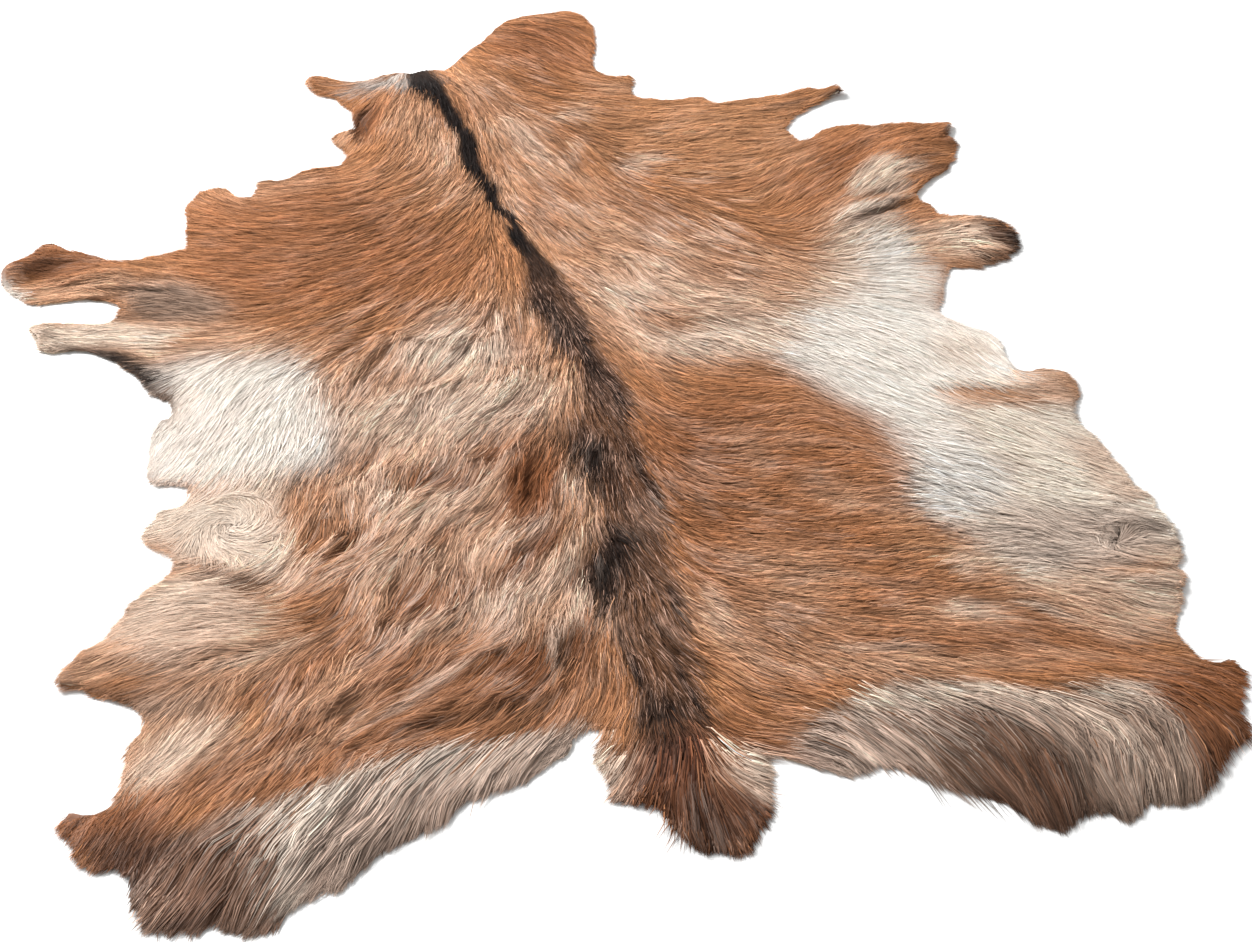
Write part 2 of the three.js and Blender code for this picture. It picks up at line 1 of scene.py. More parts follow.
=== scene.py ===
# A goatskin rug laid out hair side up: a thin folded skin and the combed coat of hair that grows on it.
# The tables hold millimetres in the hide's own plan, +Y to the neck and +X to the animal's right.
import math
import bpy
import numpy as np
from mathutils.bvhtree import BVHTree
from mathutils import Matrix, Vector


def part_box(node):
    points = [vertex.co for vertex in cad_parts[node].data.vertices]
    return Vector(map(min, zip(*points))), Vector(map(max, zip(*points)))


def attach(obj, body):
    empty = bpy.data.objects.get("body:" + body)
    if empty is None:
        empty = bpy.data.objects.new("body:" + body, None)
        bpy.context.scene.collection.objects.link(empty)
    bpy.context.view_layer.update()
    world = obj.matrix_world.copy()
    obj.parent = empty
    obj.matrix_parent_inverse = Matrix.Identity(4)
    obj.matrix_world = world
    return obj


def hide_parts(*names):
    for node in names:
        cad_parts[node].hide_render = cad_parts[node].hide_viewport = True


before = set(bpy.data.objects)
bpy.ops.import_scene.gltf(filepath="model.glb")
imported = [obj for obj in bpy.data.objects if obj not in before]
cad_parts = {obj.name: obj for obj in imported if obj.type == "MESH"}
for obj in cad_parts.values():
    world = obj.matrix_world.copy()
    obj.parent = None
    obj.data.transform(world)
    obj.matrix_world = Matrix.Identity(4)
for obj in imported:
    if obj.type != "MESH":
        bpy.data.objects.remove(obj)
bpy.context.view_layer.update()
mm = 0.001
scene = bpy.context.scene
print("frame loaded")


def linear(code):  # sRGB hex to linear
    parts = [int(code[i:i + 2], 16) / 255 for i in (1, 3, 5)]
    return [v / 12.92 if v <= 0.04045 else ((v + 0.055) / 1.055) ** 2.4 for v in parts]


def placed(name, data):  # an object of the scene
    piece = bpy.data.objects.new(name, data)
    scene.collection.objects.link(piece)
    return piece


# camera: stands behind the tail and looks down and forward over the hide
camera = {"foot": (-0.4263, -1.9748), "height": 1.560, "down": 39.0, "turn": -12.84, "lens": 82.09}

camData = bpy.data.cameras.new("camera")
camData.sensor_fit = "HORIZONTAL"
camData.sensor_width = 36
camData.lens = camera["lens"]
camData.clip_end = 30
cam = placed("camera", camData)
cam.location = (*camera["foot"], camera["height"])
cam.rotation_euler = (math.radians(90 - camera["down"]), 0, math.radians(camera["turn"]))
scene.camera = cam

# plan maps: arrays over the hide's plan that every later step reads
plan = {"pitch": 2.0, "margin": 44.0}

low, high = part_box("hide")
pitch = plan["pitch"]
xs = np.arange(low.x / mm - plan["margin"], high.x / mm + plan["margin"], pitch)
ys = np.arange(low.y / mm - plan["margin"], high.y / mm + plan["margin"], pitch)
gridX, gridY = np.meshgrid(xs, ys)
dice = np.random.default_rng(41)
lattice = dice.uniform(-1, 1, (256, 256))
chances = dice.random((512, 512))


def at(field, x, y):  # a plan map read between its points
    u = np.clip((x - xs[0]) / (xs[-1] - xs[0]), 0, 0.9999) * (field.shape[1] - 1)
    v = np.clip((y - ys[0]) / (ys[-1] - ys[0]), 0, 0.9999) * (field.shape[0] - 1)
    i, j = u.astype(int), v.astype(int)
    u, v = u - i, v - j
    if field.ndim == 3:
        u, v = u[:, None], v[:, None]
    near = field[j, i] * (1 - u) + field[j, i + 1] * u
    far = field[j + 1, i] * (1 - u) + field[j + 1, i + 1] * u
    return near * (1 - v) + far * v


def wave(x, y, size, lot=0):  # smooth noise from -1 to 1, its lumps about that many mm apart
    u, v = x / size + 37.7 * lot, y / size + 91.3 * lot
    i, j = np.floor(u).astype(int), np.floor(v).astype(int)
    u, v = u - i, v - j
    u, v = u * u * (3 - 2 * u), v * v * (3 - 2 * v)
    i, j, k, m = i % 256, j % 256, (i + 1) % 256, (j + 1) % 256
    near = lattice[j, i] * (1 - u) + lattice[j, k] * u
    far = lattice[m, i] * (1 - u) + lattice[m, k] * u
    return near * (1 - v) + far * v


def blurred(field, width):  # width in mm
    acrossX = np.fft.rfftfreq(field.shape[1], pitch)[None]
    acrossY = np.fft.fftfreq(field.shape[0], pitch)[:, None]
    keep = np.exp(-2 * (math.pi * width) ** 2 * (acrossX ** 2 + acrossY ** 2))
    return np.fft.irfft2(np.fft.rfft2(field) * keep, field.shape)


def grown(mask, radius):  # a mask grown all round by that many mm
    half = int(radius / pitch) + 1
    offX, offY = np.meshgrid(np.arange(-half, half + 1), np.arange(-half, half + 1))
    disc = np.zeros(mask.shape)
    disc[offY, offX] = (offX ** 2 + offY ** 2) * pitch ** 2 <= radius ** 2
    return np.fft.irfft2(np.fft.rfft2(mask.astype(float)) * np.fft.rfft2(disc), mask.shape) > 0.5


def distanceFrom(mask, reach):  # mm from the mask, up to reach
    total = np.zeros(mask.shape)
    for radius in np.arange(0.5, reach / pitch) * pitch:
        total += pitch * ~grown(mask, radius)
    return total


def smooth(value, start, end):  # 0 at start, 1 at end
    t = np.clip((value - start) / (end - start), 0, 1)
    return t * t * (3 - 2 * t)


warpX = 7 * wave(gridX, gridY, 34, 1) + 4 * wave(gridX, gridY, 11, 2)
warpY = 7 * wave(gridX, gridY, 34, 3) + 4 * wave(gridX, gridY, 11, 4)


def spot(x, y, long, wide, turn=0, soft=0.35, warp=1.0):  # 1 inside a ragged ellipse, 0 outside
    c, s = math.cos(math.radians(turn)), math.sin(math.radians(turn))
    px, py = gridX + warp * warpX - x, gridY + warp * warpY - y
    ring = np.hypot((px * c + py * s) / long, (py * c - px * s) / wide)
    return 1 - smooth(ring, 1 - soft, 1 + soft)


def area(outline, feather):  # 1 inside an outline, its edge ragged and as soft as the feather, in mm
    px, py = gridX + warpX, gridY + warpY
    within = np.zeros(gridX.shape, bool)
    for (ax, ay), (bx, by) in zip(outline, outline[1:] + outline[:1]):
        within ^= ((ay > py) != (by > py)) & (px < (bx - ax) * (py - ay) / (by - ay + 1e-9) + ax)
    return blurred(within.astype(float), feather / 2)


def entries(text, mark):  # a text table's entries without its notes, which start with #
    text = " ".join(line for line in text.split("\n") if not line.startswith("#"))
    return [entry for entry in text.split(mark) if entry.strip()]


def rows(text):  # rows of numbers
    return [[float(v) for v in row.split()] for row in entries(text, ",")]


def toneRows(text):  # tone, numbers, and an outline where there is one; a row without a tone keeps the last
    table, tone = [], None
    for entry in entries(text, ";"):
        head, _, outline = entry.partition(":")
        words = head.split()
        if words[0].isalpha():
            tone = words.pop(0)
        table.append([tone, *map(float, words)] + ([rows(outline)] if outline else []))
    return table


def painted(base, text):  # a number laid over the plan in spots: middle, half sizes, turn, value
    field = np.full(gridX.shape, float(base))
    for x, y, long, wide, turn, value in rows(text):
        field += (value - field) * spot(x, y, long, wide, turn, 0.3, 0.5)
    return field


# the height of the coat's top and of the solid's underside, read from the CAD hide
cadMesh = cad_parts["hide"].data
shell = BVHTree.FromPolygons(
    [v.co.copy() for v in cadMesh.vertices], [tuple(p.vertices) for p in cadMesh.polygons])
coatTop, solidUnder = np.zeros(gridX.shape), np.zeros(gridX.shape)
clearOf = 0.1  # m above and below the hide, where the rays start
for j, y in enumerate(ys * mm):
    for i, x in enumerate(xs * mm):
        hit = shell.ray_cast((x, y, clearOf), (0, 0, -1))[0]
        if hit:
            coatTop[j, i] = hit.z / mm
            solidUnder[j, i] = shell.ray_cast((x, y, -clearOf), (0, 0, 1))[0].z / mm
footprint = coatTop > 0

skin = {
    "thick": 2.0,        # tanned goatskin with its felted undercoat
    "step": 9.0,         # spacing of the mesh points
    "lockWidth": 7.4,    # rim teeth narrower than this are hair, not skin
    "ragged": 2.2,       # how far the knife wandered
    "foldShare": 0.75,   # how much of a fold is skin, the rest is hair
    "foldAcross": 30.0,  # mm over which the coat is levelled to find its folds
    "foldFrom": 0.6,     # mm above that level where a fold begins
}

body = grown(~grown(~footprint, skin["lockWidth"] / 2), skin["lockWidth"] / 2)


def spread(field, width, least=1e-3):  # smoothed over the hide, and carried past its rim
    return blurred(field * body, width) / np.maximum(blurred(body.astype(float), width), least)


proud = coatTop - spread(coatTop, skin["foldAcross"], 0.02) - skin["foldFrom"]
fold = blurred(np.maximum(proud, 0) * body, 3.0) * skin["foldShare"]
skinUnder = np.maximum(spread(solidUnder, 4) + fold, 0)
skinTop = skinUnder + skin["thick"]
outside = distanceFrom(body, 40)
beyond = distanceFrom(footprint, 30)
inside = distanceFrom(~body, 60)
coatNear = np.where(body, spread(coatTop, 2.5), spread(coatTop, 9))
print("plan maps read,", int(footprint.sum()), "points on the hide")

# lie of the hair: mm, then the way that it points from root to tip, in degrees from +X
lie = rows("""
# neck
70 660 -30, 110 600 -70, 60 580 -40, 100 550 -25, 100 500 -20, -20 550 -80, -50 450 -95, 0 600 -70, 30 550 -55,
20 420 -75, 30 300 -65, 60 480 -50,
# right shoulder and foreleg
200 400 -8, 180 450 -5, 250 450 -5, 330 460 10, 300 330 35, 330 380 30, 400 350 5, 350 270 35, 330 200 15,
430 180 0, 410 150 -60, 400 205 20, 330 110 -20,
# middle of the right side
100 250 -50, 50 200 -60, 150 150 -45, 200 100 -45, 100 100 -35, 200 60 -40, 250 20 -35,
# right rump and thigh
100 -50 -5, 150 -150 -10, 100 -250 -15, 200 -300 -15, 50 -200 -25, 30 -300 -50, 20 -350 -60, 60 -400 -30,
250 -330 -20, 220 -380 -15, 300 -400 -20, 350 -430 -15,
# right flank and belly
230 0 -55, 300 0 -60, 340 0 -70, 250 -100 -50, 300 -150 -40, 350 -130 -50, 400 -80 -20, 330 -370 -50, 370 -340 -20,
400 -170 -35, 410 -230 -25, 340 -200 -45,
# right hind end and breech
380 -470 -50, 350 -510 -70, 400 -470 -30, 360 -540 -110, 80 -460 -60, 120 -450 -50, 150 -470 -60, 200 -500 -72,
250 -520 -80, 230 -560 -85, 300 -500 -80, 310 -560 -95, 340 -530 -110, 280 -440 -40, 200 -430 -35,
# back stripe
-5 250 -80, 5 150 -85, 20 100 -65, -15 100 -110, 25 0 -60, -8 0 -115, 20 -100 -60, -25 -100 -115, 0 -180 -75,
5 -260 -65, -50 -260 -110, -10 -350 -80, -45 -360 -100,
# tail
-95 -445 180, -92 -478 -160, -70 -500 -125, -30 -530 -95, 0 -510 -60, 18 -482 -20, 30 -462 8, -48 -440 -100,
-50 -480 -110,
# left rear
-60 -100 -115, -100 -100 -120, -150 -100 -125, -200 -100 -125, -150 -200 -115, -200 -200 -120, -250 -200 -135,
-100 -300 -125, -200 -300 -125, -150 -350 -150, -200 -370 -170, -250 -370 -175, -120 -390 -120, -300 -330 -105,
-350 -330 -120, -300 -390 -120, -380 -360 -140, -420 -340 -140, -430 -380 -130,
# left breech and hind end
-150 -420 -125, -200 -430 -130, -250 -440 -135, -250 -470 -125, -300 -450 -145, -300 -490 -120, -350 -450 -145,
-350 -500 -120, -380 -530 -125, -440 -520 -150, -400 -450 -125, -480 -430 -145, -460 -460 -120, -440 -480 -125,
# left stifle, belly and flank
-400 -170 160, -430 -200 -165, -450 -230 -140, -470 -250 180, -400 -220 170, -350 -220 165, -390 -80 180,
-300 -60 -110, -300 -150 -140, -280 -100 -125, -300 0 -115, -350 0 -120, -370 30 -120, -340 80 -135, -300 100 -130,
-260 50 -107, -250 150 -160, -200 200 -150,
# middle of the left side, shoulder and neck
-100 200 -125, -150 150 -135, -150 250 -160, -100 300 -135, -250 250 180, -250 320 175, -300 350 165, -300 400 120,
-200 400 180, -200 430 170, -150 350 -170, -100 400 -140, -100 450 -120, -80 500 -100, -120 530 -125, -160 595 170,
-100 20 -125, -180 50 -130,
# left foreleg
-350 290 150, -400 310 150, -490 330 170, -350 230 160, -320 200 160, -400 270 160, -450 290 180, -400 200 160,
-450 210 170, -380 170 170
""")
# whorls: mm, radius, and how far the hair turns away from pointing straight out, in degrees
whorls = [(382, -286, 20, 30), (-340, -98, 46, 78)]
combing = {"near": 34.0, "far": 60.0, "farShare": 2.5e-3, "blur": 4}  # mm that a place of the table reaches
# how far the lie wanders
wander = painted(1.0, """
-150 -180 150 170 0 2.6, -120 80 110 110 0 2, 100 170 100 130 0 1.5, -280 -350 140 60 0 1.8, -20 -150 50 300 0 1.8""")


def combMap():
    east, north, total = (np.zeros(gridX.shape) for _ in range(3))
    for x, y, way in lie:
        d2 = (gridX - x) ** 2 + (gridY - y) ** 2
        weight = np.exp(-d2 / (2 * combing["near"] ** 2)) + combing["farShare"] / (1 + d2 / combing["far"] ** 2) ** 2
        east += weight * math.cos(math.radians(way))
        north += weight * math.sin(math.radians(way))
        total += weight
    east, north = east / total, north / total
    for x, y, radius, twist in whorls:
        px, py = gridX - x, gridY - y
        d = np.hypot(px, py) + 1e-6
        weight = 1 - smooth(d, 0.55 * radius, 1.25 * radius)
        way = np.arctan2(py, px) + math.radians(twist)
        east += (np.cos(way) - east) * weight
        north += (np.sin(way) - north) * weight
    east, north = blurred(east, combing["blur"]), blurred(north, combing["blur"])
    strays = 9 * wave(gridX, gridY, 44, 5) + 6 * wave(gridX, gridY, 17, 6)  # degrees
    way = np.arctan2(north, east) + np.radians(wander * strays)
    return np.stack([np.cos(way), np.sin(way)], 2)


comb = combMap()
print("hair combed on the plan")

# the coat's form over the plan: mm, half sizes, turn, value
hairLength = painted(24, """
130 -200 150 190 0 15, 220 400 165 110 0 20, -210 330 170 130 0 20, -150 -200 140 180 0 28, 300 0 95 150 0 32,
-330 45 90 95 0 32, -25 -250 40 200 0 24, -450 270 90 90 0 17, 400 345 60 40 0 16, 350 250 60 60 0 24,
375 -285 80 70 0 20, -335 -92 50 50 0 26, 220 -500 150 80 -8 30, -320 -470 190 50 17 30, 385 -480 55 60 0 26,
-480 -440 50 40 0 24, -45 -480 60 60 0 30, 382 -286 20 20 0 15, -340 -98 18 18 0 14""")
# how high the coat lies in waves
lumpRise = painted(0.8, """
-150 -190 150 180 0 6, -120 80 120 120 0 4.4, 130 -200 150 190 0 0.5, 300 0 95 150 0 1.2, 220 400 165 110 0 0.7,
-330 45 90 95 0 1.2, 220 -500 150 80 -8 2.2, -320 -470 190 50 17 2.2, -280 -350 120 60 0 4.2, 100 170 100 130 0 2.8,
375 -200 70 120 0 1.8, -40 -250 60 190 0 2.4""")

# hollows and crests beside them, where the hide is puckered
folds = painted(0.0, """
-350 -168 46 7 -36 -4, -358 -154 46 9 -36 3, 345 -74 50 7 -8 -3.5, 345 -58 50 9 -8 3, 405 -250 30 5 25 -3,
400 -325 34 5 -12 -3, 394 -343 36 6 -12 2.5, 302 -150 9 42 10 2.5, 322 222 36 6 30 -4, 330 240 40 8 22 4,
346 262 28 5 15 -3, -455 318 34 8 20 -3, -430 296 44 7 -2 3, -400 262 40 6 -20 -3, -430 -262 40 6 -20 -3,
-400 -246 50 9 -20 2.5, -130 512 10 30 -20 -3, -148 505 8 26 -20 2, -300 -338 60 10 34 1.5, -290 -356 60 8 34 -1.5,
-110 104 50 34 0 2.5, -190 -366 90 9 8 2.5, -190 -382 90 8 8 -3, -78 -105 46 12 74 -3, -96 -105 46 9 74 3""")


def ridges(turn, long, wide, lot):  # crests of that length and width in mm
    c, s = math.cos(math.radians(turn)), math.sin(math.radians(turn))
    px, py = gridX + 1.5 * warpX, gridY + 1.5 * warpY
    u, v = (px * c + py * s) / long, (py * c - px * s) / wide
    sharp, fine = np.abs(wave(u, v, 1.0, lot)), wave(u * 2.1, v * 2.1, 1.0, lot + 1)
    return 0.7 - 2.2 * sharp + 0.5 * fine  # most of it between -1 and 1


# mm: heights of the coat and of its roots past the rim, and how soon they are reached
rim = {"top": 0.9, "skin": 0.3, "topFall": 7.0, "skinFall": 2.0}
leftSide = smooth(-gridX, 10, 60)  # the crests lean another way on each side of the back
crests = ridges(30, 62, 27, 11) * leftSide + ridges(-25, 70, 30, 13) * (1 - leftSide)
lumps = np.maximum(crests, -0.8) * lumpRise + folds
clearTop = rim["top"] + (np.maximum(coatNear - rim["top"], 0.4) + lumps) * np.exp(-outside / rim["topFall"])
pastRim = rim["skin"] + (skinTop - rim["skin"]) * np.exp(-outside / rim["skinFall"])
clearSkin = np.where(outside > 0, pastRim, skinTop)
print("coat shaped on the plan")


# colours of the coat: a few hair tones, laid down in areas and then in small spots; blush is a painted sheen, the pale
# cast that highlights give the hair
hairTones = {
    "ginger": "#B47C53", "russet": "#AE754F", "chestnut": "#8C5736", "auburn": "#70402A", "rust": "#AC7856",
    "fawn": "#C39069", "sand": "#CDA080",
    "blush": "#E0C4AF", "straw": "#E2CBB7", "cream": "#E8DACA", "milk": "#EFE6DC", "ash": "#B8A293",
    "taupe": "#A18978",
    "smoke": "#5C4638", "bistre": "#452F24", "umber": "#4F3426", "soot": "#1C1310", "bareSkin": "#C6BCB4",
}
# middle of the left side; the blush here and right of the back line is painted sheen
toneAreas = toneRows("""
# tone, strength, softness of the edge in mm, outline in mm
# shoulders and neck
russet 0.9 40: -340 290, -335 400, -250 420, -150 440, -110 400, -80 330, -60 240, -130 190, -220 190, -310 220;
fawn 0.6 40: -180 440, -110 440, -60 380, -60 300, -110 320, -150 380;
sand 0.75 24: -110 560, -55 540, -52 450, -48 330, -75 330, -105 430;
0.7 30: -30 585, 10 560, 40 500, 50 400, 70 330, 60 260, -10 240, -25 400;
0.75 40: 60 330, 150 270, 180 220, 240 170, 250 110, 170 60, 100 40, 40 60, 15 150, 0 250;
fawn 0.6 40: 60 520, 120 480, 250 470, 300 420, 300 320, 260 260, 150 310, 80 380;
russet 0.95 22: 20 670, 120 670, 120 560, 60 560, 20 620;
0.7 26: 280 380, 340 395, 450 390, 440 340, 360 330, 330 280, 285 250, 230 260;
# middle of the left side
sand 0.85 40: -190 130, -120 150, -45 190, -25 120, -30 20, -60 -40, -150 -50, -250 -50, -250 60, -240 110;
blush 0.7 34: -245 50, -150 70, -60 60, -35 20, -50 -30, -150 -45, -245 -40;
0.45 24: -140 160, -90 180, -50 120, -60 60, -130 60;
0.5 34: 40 200, 110 200, 160 140, 190 90, 170 40, 110 30, 50 60, 30 130;
# left rear
sand 0.8 30: -300 -50, -50 -40, -40 -100, -60 -200, -55 -300, -90 -330, -160 -290, -260 -290, -300 -200, -300 -120;
blush 0.2 26: -240 -70, -120 -70, -100 -150, -70 -180, -70 -280, -150 -270, -220 -240, -220 -120;
ginger 0.7 22: -305 -70, -262 -60, -255 -160, -270 -240, -250 -290, -300 -290, -310 -200, -296 -120;
rust 0.85 22: -330 -290, -290 -240, -220 -262, -160 -300, -80 -330, -60 -395, -150 -402, -250 -410, -350 -432,
    -440 -412, -400 -370, -350 -330;
sand 0.9 14: -455 -318, -380 -320, -390 -370, -410 -400, -460 -400;
fawn 0.7 14: -390 -320, -330 -330, -360 -390, -410 -400;
# left stifle and belly
straw 0.95 16: -430 -52, -372 -52, -330 -40, -290 -45, -292 -110, -300 -190, -340 -160, -392 -140, -395 -115,
    -430 -100;
cream 0.5 16: -400 -70, -320 -60, -310 -130, -370 -130;
sand 0.95 12: -400 -146, -345 -165, -306 -210, -320 -280, -400 -285, -450 -262, -510 -270, -500 -240, -460 -205,
    -440 -165;
straw 0.7 18: -410 -150, -350 -170, -320 -215, -335 -250, -410 -265, -460 -220;
0.5 14: -430 -165, -380 -158, -340 -180, -350 -205, -400 -205, -450 -205;
smoke 0.5 10: -450 -275, -380 -272, -340 -285, -330 -300, -380 -308, -440 -300;
# white flanks
sand 0.9 20: -420 220, -370 215, -300 190, -250 150, -235 110, -300 120, -420 140;
milk 1 22: -400 132, -350 150, -300 140, -252 116, -238 40, -242 -48, -300 -44, -350 -44, -410 -26, -420 60, -390 84;
straw 0.85 30: 290 245, 330 235, 370 200, 350 110, 250 90, 170 40, 165 66, 240 130;
milk 1 22: 330 205, 345 160, 352 110, 335 85, 348 50, 396 40, 390 -60, 360 -60, 310 -62, 300 -100, 330 -140,
    330 -172, 320 -222, 280 -245, 254 -246, 228 -200, 238 -140, 232 -84, 206 -40, 178 10, 164 56, 200 84, 256 108,
    306 170;
# right belly
cream 1 16: 300 -52, 380 -50, 440 -50, 440 -200, 445 -260, 440 -300, 400 -380, 352 -402, 310 -335, 262 -262,
    256 -236, 300 -232, 326 -172, 296 -120;
sand 0.8 12: 290 -56, 350 -64, 380 -50, 430 -40, 430 -105, 405 -105, 380 -90, 340 -84, 300 -80;
0.45 16: 380 -150, 430 -150, 430 -240, 390 -230;
ash 0.75 18: 256 -245, 300 -240, 340 -228, 420 -245, 415 -300, 350 -330, 290 -310;
sand 0.5 16: 300 -320, 400 -300, 440 -300, 400 -385, 352 -402, 310 -350;
# right rump and thigh
russet 0.6 24: 26 10, 70 0, 130 0, 165 -10, 198 -50, 224 -90, 228 -150, 216 -200, 238 -242, 252 -290, 285 -335,
    318 -378, 375 -430, 300 -432, 200 -420, 100 -402, 30 -430, 15 -300, 20 -150;
chestnut 0.32 40: 20 -20, 120 -20, 140 -70, 110 -200, 40 -260, 15 -160;
cream 0.5 12: 262 -262, 290 -300, 330 -345, 390 -405, 340 -406, 300 -372, 262 -310, 245 -270;
sand 0.7 16: 285 -325, 330 -330, 380 -380, 398 -412, 350 -412, 300 -376;
fawn 0.75 20: 206 -200, 246 -240, 262 -290, 300 -350, 270 -360, 225 -300, 200 -240;
rust 0.5 26: 180 -300, 260 -300, 330 -385, 390 -440, 300 -425, 220 -400, 130 -380;
sand 0.45 30: 20 -300, 110 -280, 150 -340, 120 -390, 30 -390;
# right foreleg
straw 0.8 9: 300 262, 322 292, 345 325, 372 325, 400 300, 370 285, 366 250, 340 254;
ginger 0.8 10: 350 258, 385 262, 390 205, 352 205;
ash 0.6 10: 300 238, 340 246, 352 216, 318 200, 292 214;
sand 0.85 12: 360 208, 440 215, 450 130, 400 125, 350 150;
# left foreleg
chestnut 0.7 12: -500 345, -465 372, -420 348, -395 318, -450 290, -510 318;
sand 0.8 10: -500 300, -440 296, -385 296, -390 268, -440 262, -500 262;
taupe 0.85 16: -405 275, -345 268, -300 215, -320 190, -380 210, -400 235;
straw 0.9 10: -495 235, -440 228, -390 205, -350 190, -380 160, -430 180, -495 185;
# hind ends and the long hair of the breech
ash 0.95 9: 55 -448, 100 -424, 150 -417, 200 -432, 260 -448, 340 -456, 350 -480, 356 -620, 170 -620, 100 -520,
    40 -510;
taupe 0.6 14: 200 -470, 340 -475, 350 -620, 210 -620;
straw 0.85 10: 80 -444, 110 -426, 150 -417, 200 -430, 250 -448, 340 -460, 344 -488, 260 -474, 200 -456, 120 -450;
0.7 8: 250 -456, 270 -456, 300 -500, 322 -560, 326 -600, 306 -600, 294 -540, 272 -496;
smoke 0.95 14: 120 -492, 165 -482, 205 -476, 245 -510, 272 -600, 190 -610, 120 -545, 90 -505;
umber 0.6 14: 180 -500, 230 -490, 262 -560, 262 -600, 190 -600, 150 -550;
smoke 0.7 10: 290 -480, 306 -480, 330 -540, 318 -560;
straw 0.5 10: 315 -462, 340 -462, 348 -540, 336 -560;
chestnut 0.9 14: 345 -446, 440 -440, 430 -490, 400 -540, 345 -580, 340 -500;
umber 0.7 14: 346 -512, 420 -490, 400 -540, 345 -580;
ash 0.95 10: -100 -398, -200 -410, -300 -425, -400 -448, -430 -450, -470 -480, -470 -580, -350 -580, -240 -520,
    -140 -470, -85 -430;
cream 0.75 10: -130 -404, -200 -412, -260 -420, -380 -446, -360 -462, -260 -444, -190 -426;
smoke 0.8 16: -440 -456, -400 -456, -350 -480, -345 -560, -470 -560;
chestnut 0.35 16: -440 -456, -400 -456, -340 -480, -345 -560, -470 -560;
smoke 0.45 14: -440 -520, -330 -516, -240 -482, -240 -520, -330 -570, -440 -570;
0.55 14: 248 -540, 350 -540, 350 -620, 230 -620;
0.6 12: -130 -440, -240 -470, -300 -500, -300 -540, -200 -500, -110 -455;
cream 0.6 8: -350 -450, -310 -446, -345 -540, -365 -540;
chestnut 0.9 12: -530 -390, -450 -402, -418 -440, -436 -478, -470 -490, -510 -455;
umber 0.7 14: -510 -430, -430 -440, -420 -500, -480 -500
""")
